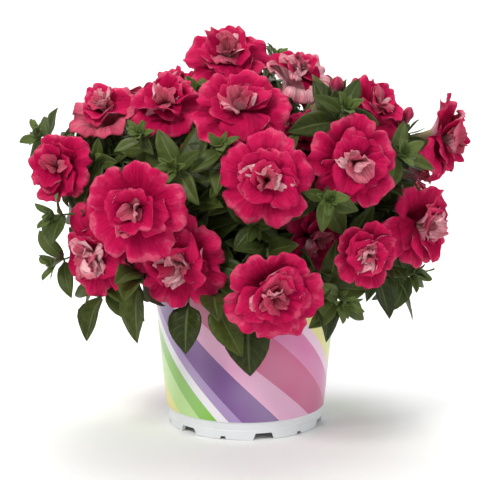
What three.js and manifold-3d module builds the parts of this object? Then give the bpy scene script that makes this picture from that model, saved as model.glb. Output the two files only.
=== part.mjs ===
// A double petunia in full bloom in a plastic nursery pot.
// Millimetres, +Z up. The origin is on the pot's axis, on the surface that the pot stands on.
// The front is towards -Y.
import * as THREE from "three";
import { mergeVertices } from "three/addons/utils/BufferGeometryUtils.js";
import Module from "manifold-3d";

const wasm = await Module();
wasm.setup();

// Driving sizes of the pot
const POT_HEIGHT = 115;
const RIM_RADIUS = 65;
const RIM_HEIGHT = 8;
const WALL_TOP_RADIUS = 62.4;
const WALL_FOOT_RADIUS = 53.4;
const FOOT_HEIGHT = 12;
const FOOT_RADIUS = 51.6;
const WALL = 1.5;
const FLOOR_UNDERSIDE = 7;
const FLOOR_TOP = FLOOR_UNDERSIDE + 2;
const POT_SIDES = 24;
const NOTCHES = 6;
const WIDE_NOTCH = { width: 15, height: 4.5 };
const NARROW_NOTCH = { width: 5, height: 2.2 };
const FIRST_NOTCH_DEG = 13.5;
const DRAIN_HOLE = { radius: 4.5, pitchRadius: 36, depth: 6 };
const HOLE_SIDES = 6;
const FOOT_RING_WIDTH = 2.6;

// Driving sizes of the plant
const GAP = 0.35;
const SLIVER = 0.06;
const COMPOST_TOP = 104;
const ROOT_DEPTH = 12;
const STEM_RADIUS = 2.5;
const HOLE_RADIUS = STEM_RADIUS + 2.2;
const BRANCH_RADIUS = 1.25;
const CALYX_DEPTH = 4;
const CALYX_BED = -1.6 * GAP;
const COMPOST_DISH = 3;
const PETAL_THICKNESS = 0.9;
const LEAF_THICKNESS = 0.9;
const TUBE_LENGTH = 19;
const RIM_PLANE = 27;
const LOBES = 5;
const RIM_POINTS = 3 * LOBES;
const THROAT_POINTS = 8;
const FULL_RADIUS = 30;
const THROAT_RADIUS = 7;
const TUBE_FOOT_RADIUS = 2.5;

// The dip between two lobes of a corolla: depth as a share of the radius, width as a share of a lobe
const DIP = { depth: 0.14, width: 0.11 };

// The heart of a full-sized bloom, above its floor: its foot, its waist under the second whorl, and its top
const HEART = { footRadius: 4.5, waistRadius: 2.3, waistHeight: 2.8, height: 5.2 };

// The calyx: a cup whose edge goes out and in between five sepals and the gaps between them
const CALYX = {
  cupRadius: 4.6,
  gapRadius: 5.6,
  gapHeight: 4.5,
  tipRadius: 7.6,
  tipHeight: 14,
  bedRadius: 3.2,
};

// Each bloom: its leafy stem, the centre of its face, the way it faces (azimuth from the front towards +X,
// and elevation, in degrees) and its diameter.
const BLOOMS = [
  ["low_right", "front_right", 17, -112, 112, 5, -12, 62],
  ["left_heart", "left_front", -67, -104, 163, -12, 8, 62],
  ["heart", "front_mid", 13, -100, 180, 0, 5, 60],
  ["right_heart", "right_mid", 67, -78, 187, 12, 10, 58],
  ["low_left", "front_low", -41, -82, 126, -12, -8, 62],
  ["left_low", "left_front", -95, -62, 127, -35, -8, 60],
  ["left_small", "left_front", -119, -45, 179, -30, 10, 48],
  ["right_low", "right_low", 112, -42, 141, 45, -3, 60],
  ["right_far", "right_low", 130, -8, 192, 68, 5, 60],
  ["low_right_small", "right_low", 75, -80, 130, 15, -3, 44],
  ["brow", "front_mid", -3, -66, 219, 0, 35, 62],
  ["shoulder_left", "left_top", -50, -42, 219, -8, 45, 48],
  ["cap_left", "left_top", -91, -18, 211, -30, 60, 50],
  ["crown", "top", -12, 10, 244, -5, 45, 58],
  ["cap_right", "top", 34, -20, 236, 25, 60, 48],
  ["shoulder_right", "right_mid", 84, -30, 216, 40, 35, 46],
  ["half_open", "right_mid", 37, -50, 204, 10, 25, 28],
  ["tucked", "front_mid", 44, -58, 135, 15, -5, 42],
  ["back_cap_left", "top", -48, 24, 222, -40, 60, 40],
  ["rear_left_low", "back_left", -100, 44, 150, -115, 5, 58],
  ["rear_left_high", "back_left", -68, 62, 200, -135, 35, 54],
  ["rear_low_left", "back", -50, 96, 146, -155, 0, 58],
  ["rear_high", "back", -6, 72, 212, 180, 40, 58],
  ["rear_low", "back", 9, 110, 150, 175, 3, 60],
  ["rear_low_right", "back_right", 67, 90, 142, 145, 0, 58],
  ["rear_right_high", "back_right", 54, 48, 210, 130, 38, 54],
  ["rear_right_far", "back_right", 112, 46, 162, 108, 8, 54],
];

// Each shoot tip: its leafy stem, its place, the way it points, and the length of its longest leaves.
const SHOOTS = [
  ["left_top", -131, -22, 196, -70, 25, 26],
  ["left_front", -121, -55, 150, -70, 0, 27],
  ["left_front", -122, -36, 116, -75, -15, 27],
  ["front_mid", -15, -84, 198, -10, 35, 24],
  ["right_mid", 62, -66, 219, 20, 35, 25],
  ["right_mid", 50, -92, 167, 15, 0, 26],
  ["right_low", 98, -52, 189, 35, 20, 27],
  ["left_top", -97, -40, 183, -40, 20, 26],
  ["top", -32, -14, 224, -20, 55, 22],
  ["front_low", -44, -84, 184, -25, 10, 26],
  ["left_top", -66, -56, 201, -20, 35, 22],
  ["front_mid", 6, -68, 146, 5, -5, 26],
  ["front_right", 60, -82, 100, 28, -22, 28],
  ["right_low", 108, -28, 108, 60, -20, 30],
  ["top", 20, 28, 240, 60, 65, 24],
  ["back_left", -122, 24, 163, -100, 5, 28],
  ["back_left", -96, 38, 196, -110, 40, 26],
  ["back", -24, 98, 184, -170, 25, 27],
  ["back", -14, 108, 112, 180, -20, 30],
  ["back_right", 38, 82, 184, 155, 25, 27],
  ["back_right", 84, 74, 116, 130, -15, 28],
  ["right_low", 124, 18, 134, 95, -5, 28],
];

// Each leaf that hangs low over the rim: its leafy stem, its base, the way its tip points,
// its length and its width.
const LOW_LEAVES = [
  ["front_low", -68, -74, 108, -10, -62, 36, 25],
  ["front_low", -36, -76, 98, -15, -66, 32, 24],
  ["front_low", -20, -82, 99, 45, -50, 38, 20],
  ["front_right", 2, -76, 92, -4, -68, 40, 30],
  ["front_right", 46, -72, 104, 25, -50, 32, 22],
  ["left_front", -92, -52, 98, -40, -50, 32, 22],
  ["right_low", 83, -47, 112, 50, -60, 32, 22],
  ["right_low", 92, -20, 104, 75, -45, 34, 24],
  ["back_left", -86, 14, 104, -80, -40, 36, 25],
  ["back_left", -50, 70, 104, -145, -48, 34, 24],
  ["back", 4, 82, 102, 175, -50, 36, 25],
  ["back_right", 52, 68, 104, 140, -46, 34, 24],
  ["back_right", 84, 34, 106, 105, -42, 34, 24],
];

// Each leafy stem: where it leaves the compost, as an azimuth and a distance from the pot's axis.
const STEMS = [
  ["front_low", -35, 34],
  ["front_mid", 0, 20],
  ["front_right", 22, 36],
  ["left_front", -68, 34],
  ["left_top", -80, 16],
  ["right_mid", 55, 18],
  ["right_low", 66, 36],
  ["top", 170, 5],
  ["back_left", -120, 30],
  ["back", 178, 32],
  ["back_right", 130, 30],
];

// Each closed bud: its leafy stem, the place of its tip, the way it points, its length and its radius.
const BUDS = [
  ["right_mid", 58, -52, 238, 8, 66, 20, 4],
  ["right_low", 106, -32, 216, 30, 55, 22, 3.6],
  ["left_top", -37, -56, 196, -12, 40, 24, 5],
  ["back", 16, 66, 240, 170, 60, 22, 3.6],
];

const LOWEST_CROWN = POT_HEIGHT + 15;
const LEAF_CLEARANCE = 1.5;
const LEAF_SPACING = 3;
const LEAF_SEAT = 0.6;
const LEAF_HEART = 2.8;
const PETAL_HEART = 2;
const NECK_DEPTH = 2.4;
const SHOOT_POINT = 3;
const CROWN_SHARE = 0.68;
const STEM_STEPS = 3;
const STEM_SIDES = 3;
const PETAL_START = 0.45;

// What a leaf may do to be clear of the rest: its size, how far it is raised, how far it is turned.
const LEAF_TRIALS = [
  [1, 0, 0], [1, -0.25, 0], [1, 0.3, 0], [1, 0, 0.1], [1, 0, -0.1], [0.85, -0.2, 0.1], [0.85, 0.2, -0.1],
  [0.7, 0, 0], [0.7, -0.25, 0], [0.7, 0.3, 0], [0.5, 0, 0], [0.3, 0, 0],
];

// Whorls of leaves: how many, how long against the shoot's longest, how far they open, the least and the most
// that they may open, how far back from the tip, and how wide.
// Each corner of a leaf is a share of its length and a side.
const LANCE = [[0.5, -1], [1, 0], [0.5, 1]];
const ROUND = [[0.5, -0.9], [0.92, -0.6], [0.92, 0.6], [0.5, 0.9]];
const WHORLS = [
  { count: 4, share: 1.25, open: 86, least: 70, most: 108, back: 17, width: 0.5, corners: LANCE },
  { count: 4, share: 1, open: 66, least: 54, most: 80, back: 5, width: 0.44, corners: LANCE },
  { count: 3, share: 0.66, open: 36, least: 26, most: 42, back: 0, width: 0.42, corners: LANCE },
];
const PETAL_WHORLS = [
  { count: 3, share: 0.7, open: 54, lift: 1.2, width: 0.95, corners: ROUND },
  { count: 3, share: 0.48, open: 30, lift: 5, width: 0.6, corners: ROUND },
];

const RED = new THREE.Color("#c81d50");
const BUD_RED = new THREE.Color("#a02248");
const GREEN = new THREE.Color("#3f5c2c");
const POT_WHITE = new THREE.Color("#dfe1e2");
const COMPOST_BROWN = new THREE.Color("#33251b");

// Small helpers
const rad = THREE.MathUtils.degToRad;
const vec = (x, y, z) => new THREE.Vector3(x, y, z);
const UP = vec(0, 0, 1);

function seeded(seed) {
  let state = Math.imul(seed, 2654435761) >>> 0;
  return () => {
    state = (Math.imul(state, 1664525) + 1013904223) >>> 0;
    return state / 4294967296;
  };
}

function facing(azimuth, elevation) {
  const a = rad(azimuth);
  const e = rad(elevation);
  return vec(Math.sin(a) * Math.cos(e), -Math.cos(a) * Math.cos(e), Math.sin(e));
}

// A frame whose third axis is the direction, and whose second is as near to up as that allows.
function frameAlong(direction, origin) {
  const z = direction.clone().normalize();
  const side = Math.abs(z.z) > 0.98 ? vec(0, 1, 0) : UP;
  const x = side.clone().cross(z).normalize();
  const y = z.clone().cross(x);
  return new THREE.Matrix4().makeBasis(x, y, z).setPosition(origin);
}

function pointOn(curve, t) {
  const [a, b, c, d] = curve;
  const s = 1 - t;
  return a.clone().multiplyScalar(s * s * s)
    .addScaledVector(b, 3 * s * s * t)
    .addScaledVector(c, 3 * s * t * t)
    .addScaledVector(d, t * t * t);
}

function tangentOn(curve, t) {
  return pointOn(curve, Math.min(1, t + 0.01)).sub(pointOn(curve, Math.max(0, t - 0.01))).normalize();
}

// Solids from vertices and triangles, and back
function solidFrom(vertices, faces) {
  const geometry = new THREE.BufferGeometry();
  const coordinates = vertices.flatMap((v) => v.toArray());
  geometry.setAttribute("position", new THREE.Float32BufferAttribute(coordinates, 3));
  geometry.setIndex(faces.flat());
  return solidOf(geometry);
}

function solidOf(geometry) {
  const bare = geometry.clone();
  bare.deleteAttribute("normal");
  bare.deleteAttribute("uv");
  const merged = mergeVertices(bare, 1e-4);
  const solid = new wasm.Manifold(new wasm.Mesh({
    numProp: 3,
    vertProperties: merged.attributes.position.array,
    triVerts: new Uint32Array(merged.index.array),
  }));
  return solid.volume() < 0 ? solidOf(flipped(merged)) : solid;
}

function flipped(geometry) {
  const turned = geometry.clone();
  const index = turned.index.array;
  for (let i = 0; i < index.length; i += 3) [index[i + 1], index[i + 2]] = [index[i + 2], index[i + 1]];
  return turned;
}

// The largest single body, with loose scraps dropped and sealed hollows filled.
function largestBody(solid) {
  const bodies = solid.decompose().sort((a, b) => b.volume() - a.volume());
  return bodies[0];
}

function meshOf(name, solid, color, roughness) {
  const made = solid.getMesh();
  const stride = made.numProp;
  const positions = new Float32Array(made.numVert * 3);
  for (let i = 0; i < made.numVert; i++) {
    positions.set(made.vertProperties.subarray(i * stride, i * stride + 3), i * 3);
  }
  const geometry = new THREE.BufferGeometry();
  geometry.setAttribute("position", new THREE.BufferAttribute(positions, 3));
  geometry.setIndex(new THREE.BufferAttribute(made.triVerts, 1));
  const mesh = new THREE.Mesh(geometry, new THREE.MeshStandardMaterial({ color, roughness, metalness: 0 }));
  mesh.name = name;
  return mesh;
}

// The faces between two rings of evenly spaced points, which may differ in number. They are laid alike from
// the smaller ring to the larger one and back, so that the two sides of a thin wall don't cross.
function stitch(faces, a, countA, b, countB) {
  if (countA > countB) {
    const turned = [];
    stitch(turned, b, countB, a, countA);
    faces.push(...turned.map(([i, j, k]) => [i, k, j]));
    return;
  }
  let [i, j] = [0, 0];
  while (i < countA || j < countB) {
    if (j < countB && (i === countA || (j + 1) / countB <= (i + 0.5) / countA)) {
      faces.push([a + (i % countA), b + ((j + 1) % countB), b + (j % countB)]);
      j += 1;
    } else {
      faces.push([a + (i % countA), a + ((i + 1) % countA), b + (j % countB)]);
      i += 1;
    }
  }
}

function fan(faces, centre, ring, count, outward) {
  for (let i = 0; i < count; i++) {
    const next = (i + 1) % count;
    faces.push(outward ? [centre, ring + i, ring + next] : [centre, ring + next, ring + i]);
  }
}

// A thin closed blade. Its rows run from base to tip, and each row has one point or three:
// left edge, rib, right edge.
// Both faces are split into triangles alike.
function blade(rows, normal, thickness) {
  const vertices = [];
  const faces = [];
  const starts = rows.map((row) => {
    const at = vertices.length / 2;
    for (const point of row) {
      vertices.push(point.clone().addScaledVector(normal, thickness / 2));
      vertices.push(point.clone().addScaledVector(normal, -thickness / 2));
    }
    return at;
  });
  const both = (i, j, k) => faces.push([2 * i, 2 * j, 2 * k], [2 * i + 1, 2 * k + 1, 2 * j + 1]);
  const wall = (i, j) => faces.push([2 * i, 2 * j + 1, 2 * i + 1], [2 * i, 2 * j, 2 * j + 1]);
  for (let r = 0; r + 1 < rows.length; r++) {
    const [a, b] = [starts[r], starts[r + 1]];
    const [na, nb] = [rows[r].length, rows[r + 1].length];
    if (na === 1 && nb === 3) {
      both(a, b + 1, b);
      both(a, b + 2, b + 1);
    } else if (na === 3 && nb === 1) {
      both(a, a + 1, b);
      both(a + 1, a + 2, b);
    } else {
      for (const i of [0, 1]) {
        both(a + i, a + i + 1, b + i);
        both(a + i + 1, b + i + 1, b + i);
      }
    }
    wall(a, b);
    wall(b + nb - 1, a + na - 1);
  }
  const first = starts[0];
  const last = starts.at(-1);
  if (rows[0].length === 3) {
    wall(first + 1, first);
    wall(first + 2, first + 1);
  }
  if (rows.at(-1).length === 3) {
    wall(last, last + 1);
    wall(last + 1, last + 2);
  }
  return solidFrom(vertices, faces);
}

// A closed body from a start point, through rings of points, to an end point.
function loft(start, rings, end) {
  const vertices = [start];
  const faces = [];
  let last = 0;
  rings.forEach((ring, r) => {
    const at = vertices.length;
    vertices.push(...ring);
    if (r === 0) fan(faces, 0, at, ring.length, false);
    else stitch(faces, last, rings[r - 1].length, at, ring.length);
    last = at;
  });
  vertices.push(end);
  fan(faces, vertices.length - 1, last, rings.at(-1).length, true);
  return solidFrom(vertices, faces);
}

// A ring of points about +Z, each placed by its angle and its number.
function ringOf(count, place, start = Math.PI / count) {
  return Array.from({ length: count }, (_, i) => place(start + (2 * Math.PI * i) / count, i));
}

function polar(angle, radius, z) {
  return vec(radius * Math.cos(angle), radius * Math.sin(angle), z);
}

// The rings of a stem along a curve. They are kept from twisting, and the last one starts along endAcross.
function stemRings(curve, steps, sides, startRadius, endRadius, endAcross) {
  const rings = [];
  let along = tangentOn(curve, 1);
  let across = endAcross.clone().addScaledVector(along, -endAcross.dot(along)).normalize();
  for (let s = steps; s >= 0; s--) {
    const t = s / steps;
    const turn = new THREE.Quaternion().setFromUnitVectors(along, tangentOn(curve, t));
    along = tangentOn(curve, t);
    across = across.clone().applyQuaternion(turn);
    const other = along.clone().cross(across);
    const centre = pointOn(curve, t);
    const radius = startRadius + (endRadius - startRadius) * t;
    rings.unshift(ringOf(sides, (a) => centre.clone()
      .addScaledVector(across, radius * Math.cos(a))
      .addScaledVector(other, radius * Math.sin(a)), 0));
  }
  return rings;
}

function tube(curve, steps, sides, startRadius, endRadius) {
  const rings = stemRings(curve, steps, sides, startRadius, endRadius, vec(1, 0.3, 0.2));
  return loft(curve[0], rings, curve[3]);
}

// The pot: a tapered thin-walled cup with a rim bead, a raised floor, and a foot ring with notches
function notchCutter({ width, height }, azimuth) {
  const outline = new THREE.Shape([
    new THREE.Vector2(-width / 2, -1),
    new THREE.Vector2(width / 2, -1),
    new THREE.Vector2(width / 2 - height * 0.5, height),
    new THREE.Vector2(-width / 2 + height * 0.5, height),
  ]);
  const cutter = new THREE.ExtrudeGeometry(outline, { depth: 12, bevelEnabled: false });
  cutter.rotateX(Math.PI / 2);
  cutter.translate(0, -(FOOT_RADIUS - 6), 0);
  cutter.rotateZ(rad(azimuth));
  return solidOf(cutter);
}

function makePot(grow) {
  const footInner = FOOT_RADIUS - FOOT_RING_WIDTH;
  const rimUnderside = POT_HEIGHT - RIM_HEIGHT;
  const profile = [
    [0, FLOOR_UNDERSIDE],
    [footInner - 1, FLOOR_UNDERSIDE],
    [footInner, 0],
    [FOOT_RADIUS, 0],
    [FOOT_RADIUS + 0.9, FOOT_HEIGHT - 0.6],
    [WALL_FOOT_RADIUS, FOOT_HEIGHT],
    [WALL_TOP_RADIUS, rimUnderside],
    [RIM_RADIUS + grow, rimUnderside + 0.6 - grow],
    [RIM_RADIUS + grow, POT_HEIGHT - 0.8],
    [RIM_RADIUS - 0.8, POT_HEIGHT + grow],
    [WALL_TOP_RADIUS - 0.4, POT_HEIGHT + grow],
    [WALL_TOP_RADIUS - WALL, rimUnderside],
    [WALL_FOOT_RADIUS - WALL, FLOOR_TOP],
    [0, FLOOR_TOP],
  ].map(([r, z]) => new THREE.Vector2(r, z));
  const lathe = new THREE.LatheGeometry(profile, POT_SIDES);
  lathe.rotateX(Math.PI / 2);
  let pot = solidOf(lathe);
  for (let i = 0; i < NOTCHES; i++) {
    const azimuth = FIRST_NOTCH_DEG + (360 / NOTCHES) * i;
    pot = pot.subtract(notchCutter(WIDE_NOTCH, azimuth));
    pot = pot.subtract(notchCutter(NARROW_NOTCH, azimuth + 180 / NOTCHES));
    const { radius, depth } = DRAIN_HOLE;
    const drain = new THREE.CylinderGeometry(radius, radius, depth, HOLE_SIDES);
    drain.rotateX(Math.PI / 2);
    drain.translate(0, -DRAIN_HOLE.pitchRadius, FLOOR_UNDERSIDE);
    drain.rotateZ(rad(azimuth));
    pot = pot.subtract(solidOf(drain));
  }
  return pot;
}

// The compost: it fills the pot to just under the rim, with a low uneven top and a plain hole for each stem
function compostRelief(x, y) {
  return 1.1 * Math.sin(x / 9 + 1) * Math.cos(y / 11) + 0.6 * Math.sin(x / 4 - y / 5);
}

function makeCompost(holes, grow) {
  const wallAt = (z) => {
    const share = (z - FOOT_HEIGHT) / (POT_HEIGHT - RIM_HEIGHT - FOOT_HEIGHT);
    return WALL_FOOT_RADIUS + (WALL_TOP_RADIUS - WALL_FOOT_RADIUS) * share - WALL - 2 * GAP + grow;
  };
  const rings = [
    [wallAt(FLOOR_TOP + GAP) - 1, FLOOR_TOP + GAP, 0],
    [wallAt(COMPOST_TOP - COMPOST_DISH), COMPOST_TOP - COMPOST_DISH, 0],
    [40, COMPOST_TOP, 1],
    [20, COMPOST_TOP, 1],
  ];
  const solidRings = rings.map(([radius, z, relief]) => ringOf(POT_SIDES, (a) => {
    const point = polar(a, radius, z);
    return point.setZ(z + grow + relief * compostRelief(point.x, point.y));
  }));
  const top = vec(0, 0, COMPOST_TOP + grow + compostRelief(0, 0));
  let compost = loft(vec(0, 0, FLOOR_TOP + GAP), solidRings, top);
  for (const { x, y } of holes) {
    const radius = HOLE_RADIUS - grow;
    const hole = new THREE.CylinderGeometry(radius, radius, 2 * ROOT_DEPTH, HOLE_SIDES);
    hole.rotateX(Math.PI / 2);
    hole.translate(x, y, COMPOST_TOP);
    compost = compost.subtract(solidOf(hole));
  }
  return compost;
}

// The bloom. Its own frame has the calyx at the origin and the face towards +Z.
// The fused outer corolla is a trumpet with five waved lobes. Standing inner petals fill its throat.
function corollaRim(angle, radius, ruffle) {
  const toDip = Math.abs(((angle * LOBES) / (2 * Math.PI)) % 1 + 1) % 1 - 0.5;
  const dip = Math.exp(-((toDip / DIP.width) ** 2));
  const lobe = Math.floor(((angle * LOBES) / (2 * Math.PI) + 0.5 + LOBES) % LOBES);
  const reach = radius * ruffle.reach[lobe] * (1 - DIP.depth * dip);
  const lift = ruffle.depth * (Math.sin(ruffle.waves * angle + ruffle.phase)
    + 0.5 * Math.sin((2 * LOBES + 1) * angle + 2 * ruffle.phase));
  return [reach, lift];
}

function bloomRuffle(random, radius) {
  return {
    reach: Array.from({ length: LOBES }, () => 0.92 + 0.14 * random()),
    depth: radius * (0.05 + 0.05 * random()),
    waves: LOBES + Math.floor(3 * random()),
    phase: 2 * Math.PI * random(),
  };
}

// The inner petals stand in whorls, the first one wide and open and the second one narrow and upright.
function petalWhorl({ count, share, open, width, corners }, radius, height, random) {
  const frame = new THREE.Matrix4().makeTranslation(0, 0, height);
  const leaves = Array.from({ length: count }, (_, i) => {
    const reach = radius * share * (0.84 + 0.32 * random());
    return {
      angle: (2 * Math.PI * (i + PETAL_START + 0.12 * (random() - 0.5))) / count,
      tilt: rad(open + 8 * (random() - 0.5)),
      reach,
      width: reach * width * (0.88 + 0.2 * random()),
      ruffle: reach * (0.03 + 0.04 * random()),
      corners,
    };
  });
  return { frame, leaves };
}

// The angle at which a whorl's ring of corners starts.
function firstAngle({ leaves: [leaf] }) {
  const [share, side] = leaf.corners[0];
  return leaf.angle + Math.atan2((side * leaf.width) / 2, Math.sin(leaf.tilt) * leaf.reach * share);
}

function makeBloom({ radius, rimHeight, seed }, grow) {
  const random = seeded(seed);
  const ruffle = bloomRuffle(random, radius);
  const scale = radius / FULL_RADIUS;
  const throat = THROAT_RADIUS * Math.min(1, scale * 1.1);
  const tubeTop = TUBE_LENGTH * Math.min(1, 0.45 + 0.55 * scale);
  const floor = tubeTop + (rimHeight - tubeTop) * 0.5 + 1;
  const rim = (raise) => (a) => {
    const [reach, lift] = corollaRim(a, radius, ruffle);
    return polar(a, reach + grow, rimHeight + lift + raise);
  };
  const [outer, inner] = PETAL_WHORLS.map((whorl) => petalWhorl(whorl, radius, floor + whorl.lift, random));
  const top = vec(0, 0, floor + HEART.height + grow);
  const waist = floor + HEART.waistHeight + grow;
  return loft(vec(0, 0, -grow), [
    ringOf(LOBES, (a) => polar(a, TUBE_FOOT_RADIUS + grow, -grow)),
    ringOf(THROAT_POINTS, (a) => polar(a, throat + grow, tubeTop - grow)),
    ringOf(RIM_POINTS, rim(-grow)),
    ringOf(RIM_POINTS, rim(PETAL_THICKNESS + grow)),
    ringOf(LOBES, (a) => polar(a, HEART.footRadius * scale + grow, floor + grow), firstAngle(outer)),
    ...whorlRings(outer, PETAL_THICKNESS, PETAL_HEART, grow),
    ringOf(3, (a) => polar(a, HEART.waistRadius * scale, waist), firstAngle(inner)),
    ...whorlRings(inner, PETAL_THICKNESS, PETAL_HEART, grow),
  ], top);
}

function makeBud(length, radius, grow) {
  const rings = [[2.3, -grow], [2.5, length * 0.4], [radius, length * 0.72], [radius * 0.55, length * 0.93]];
  const solidRings = rings.map(([r, z]) => ringOf(LOBES, (a) => polar(a, r + grow, z)));
  return loft(vec(0, 0, -grow), solidRings, vec(0, 0, length + grow));
}

// A flower stalk with its calyx: a green cup with five long sepals, in which a corolla tube stands.
function makeStalk({ curve, frame }, grow) {
  const thin = BRANCH_RADIUS + grow;
  const start = Math.PI / LOBES;
  const across = vec(Math.cos(start), Math.sin(start), 0).transformDirection(frame);
  const cup = [
    ringOf(LOBES, (a) => polar(a, CALYX.cupRadius + grow, 0.5)),
    ringOf(2 * LOBES, (a, i) => (i % 2
      ? polar(a, CALYX.gapRadius + grow, CALYX.gapHeight + grow)
      : polar(a, CALYX.tipRadius + grow, CALYX.tipHeight + grow))),
    ringOf(LOBES, (a) => polar(a, CALYX.bedRadius, CALYX_BED)),
  ].map((ring) => ring.map((point) => point.applyMatrix4(frame)));
  const bed = vec(0, 0, CALYX_BED).applyMatrix4(frame);
  return loft(curve[0], [...stemRings(curve, STEM_STEPS, STEM_SIDES, thin, thin, across), ...cup], bed);
}

// Leaves
function leafOutline(u) {
  return Math.pow(Math.sin(Math.PI * Math.pow(u, 0.8)), 0.85);
}

function leafPoint(leaf, u, v) {
  const half = (leaf.width / 2) * (u <= 0 || u >= 1 ? 0 : leafOutline(u));
  const lift = leaf.fold * Math.abs(v) * half - leaf.droop * leaf.length * u * u;
  return vec(leaf.length * u, v * half, lift);
}

function leafFrame(leaf) {
  const along = leaf.direction.clone().normalize();
  const normal = leaf.up.clone().addScaledVector(along, -leaf.up.dot(along)).normalize();
  const across = normal.clone().cross(along);
  return new THREE.Matrix4().makeBasis(along, across, normal).setPosition(leaf.base);
}

// A blade's point moved out by as much as its outline grows.
function widened(point, length, v, grow) {
  return vec(point.x + (grow * 2 * point.x) / length, point.y + v * grow, point.z);
}

function makeLeaf(leaf, grow) {
  const stations = [0, 0.25, 0.55, 0.82, 1];
  const rows = stations.map((u, i) => {
    if (i === 0) return [vec(-LEAF_SEAT, 0, 0)];
    const across = i === stations.length - 1 ? [0] : [-1, 0, 1];
    return across.map((v) => widened(leafPoint(leaf, u, v), leaf.length, v, grow));
  });
  return blade(rows, UP, LEAF_THICKNESS + 2 * grow).transform(leafFrame(leaf).toArray());
}

// The planting plan: where each bloom, shoot and leaf is, before any solid is made
function bloomPlan([name, stem, x, y, z, azimuth, elevation, diameter], index) {
  const direction = facing(azimuth, elevation);
  const radius = diameter / 2;
  const scale = radius / FULL_RADIUS;
  const rimHeight = RIM_PLANE * Math.min(1, 0.55 + 0.45 * scale);
  const base = vec(x, y, z).addScaledVector(direction, -rimHeight);
  const turn = new THREE.Matrix4().makeRotationZ(seeded(index + 7)() * 6.28);
  const frame = frameAlong(direction, base).multiply(turn);
  return { name, stem, direction, radius, rimHeight, base, frame, seed: 101 + index };
}

// How far a point is outside a bloom, measured across the bloom's axis.
function outsideBloom(point, bloom) {
  const from = point.clone().sub(bloom.base);
  const height = from.dot(bloom.direction);
  const across = Math.sqrt(Math.max(0, from.lengthSq() - height * height));
  if (height < -2 || height > bloom.rimHeight + 14) return Infinity;
  const flare = (height - 0.6 * bloom.rimHeight) / (0.4 * bloom.rimHeight);
  const reach = 8 + (bloom.radius - 8) * Math.min(1, Math.max(0, flare));
  return across - (height > bloom.rimHeight + 5 ? 0.7 * bloom.radius : reach);
}

function leafSamples(leaf) {
  const frame = leafFrame(leaf);
  const samples = [];
  for (const u of [0.35, 0.6, 0.85, 1]) {
    for (const v of u === 1 ? [0] : [-1, 0, 1]) samples.push(leafPoint(leaf, u, v).applyMatrix4(frame));
  }
  return samples;
}

function leafIsClear(samples, blooms, others) {
  return samples.every((point) =>
    !blooms.some((bloom) => outsideBloom(point, bloom) < LEAF_CLEARANCE)
    && !others.some((other) => other.distanceTo(point) < LEAF_SPACING)
    && (point.z > POT_HEIGHT + 4 || Math.hypot(point.x, point.y) > RIM_RADIUS + 4));
}

// The leaves that stand round a stem at one height, as a plan.
function whorlPlan(kind, turn, tip, direction, length, random, blooms, others) {
  const { count, share, open, least, most, back, width, corners } = kind;
  const frame = frameAlong(direction, tip.clone().addScaledVector(direction, -back));
  const leaves = [];
  for (let i = 0; i < count; i++) {
    const angle = turn + (2 * Math.PI * (i + 0.2 * (random() - 0.5))) / count;
    const tilt = rad(open + 14 * (random() - 0.5));
    const reach = length * share * (0.86 + 0.28 * random());
    const wanted = { angle, tilt, least: rad(least), most: rad(most), reach, width: width * reach, corners };
    leaves.push(clearWhorlLeaf(wanted, frame, blooms, others));
  }
  return { frame, leaves };
}

function whorlPoint(leaf, share, side) {
  const along = leaf.reach * share;
  const flat = Math.sin(leaf.tilt) * along;
  const aside = (side * leaf.width) / 2;
  const wave = (leaf.ruffle ?? 0) * Math.sin(7 * leaf.angle + 2.4 * side + 3 * share);
  const rise = Math.cos(leaf.tilt) * along - 0.14 * along * share + 0.25 * Math.abs(aside) + wave;
  return polar(leaf.angle + Math.atan2(aside, flat), Math.hypot(flat, aside), rise);
}

// A leaf of a whorl, raised, lowered or shortened until it is clear of the blooms, the pot
// and the leaves before it.
function clearWhorlLeaf(wanted, frame, blooms, others) {
  let leaf = wanted;
  for (const [size, raise, turn] of LEAF_TRIALS) {
    leaf = {
      ...wanted,
      reach: wanted.reach * size,
      width: wanted.width * size,
      tilt: THREE.MathUtils.clamp(wanted.tilt + raise, wanted.least, wanted.most),
      angle: wanted.angle + turn,
    };
    const samples = [[0.55, -1], [0.55, 1], [0.8, -0.5], [0.8, 0.5], [0.65, 0], [1, 0]]
      .map(([share, side]) => whorlPoint(leaf, share, side).applyMatrix4(frame));
    if (leafIsClear(samples, blooms, others)) {
      others.push(...samples);
      break;
    }
  }
  return leaf;
}

// The under and upper rings of a whorl: the corners of each leaf in turn, with a point near
// the stem between leaves.
function whorlRings({ frame, leaves }, thickness, heart, grow) {
  const half = thickness / 2 / Math.sin(Math.min(...leaves.map((leaf) => leaf.tilt))) + grow;
  const ring = leaves.flatMap((leaf, i) => {
    const next = leaves[(i + 1) % leaves.length];
    const between = leaf.angle + ((next.angle - leaf.angle + 4 * Math.PI) % (2 * Math.PI)) / 2;
    const grown = { ...leaf, reach: leaf.reach + 2 * grow, width: leaf.width + 2 * grow };
    return [
      ...leaf.corners.map(([share, side]) => whorlPoint(grown, share, side)),
      polar(between, heart + grow, 0.5),
    ];
  });
  const shifted = (point, rise) => point.clone().setZ(point.z + rise).applyMatrix4(frame);
  return [-half, half].map((rise) => ring.map((point) => shifted(point, rise)));
}

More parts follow.
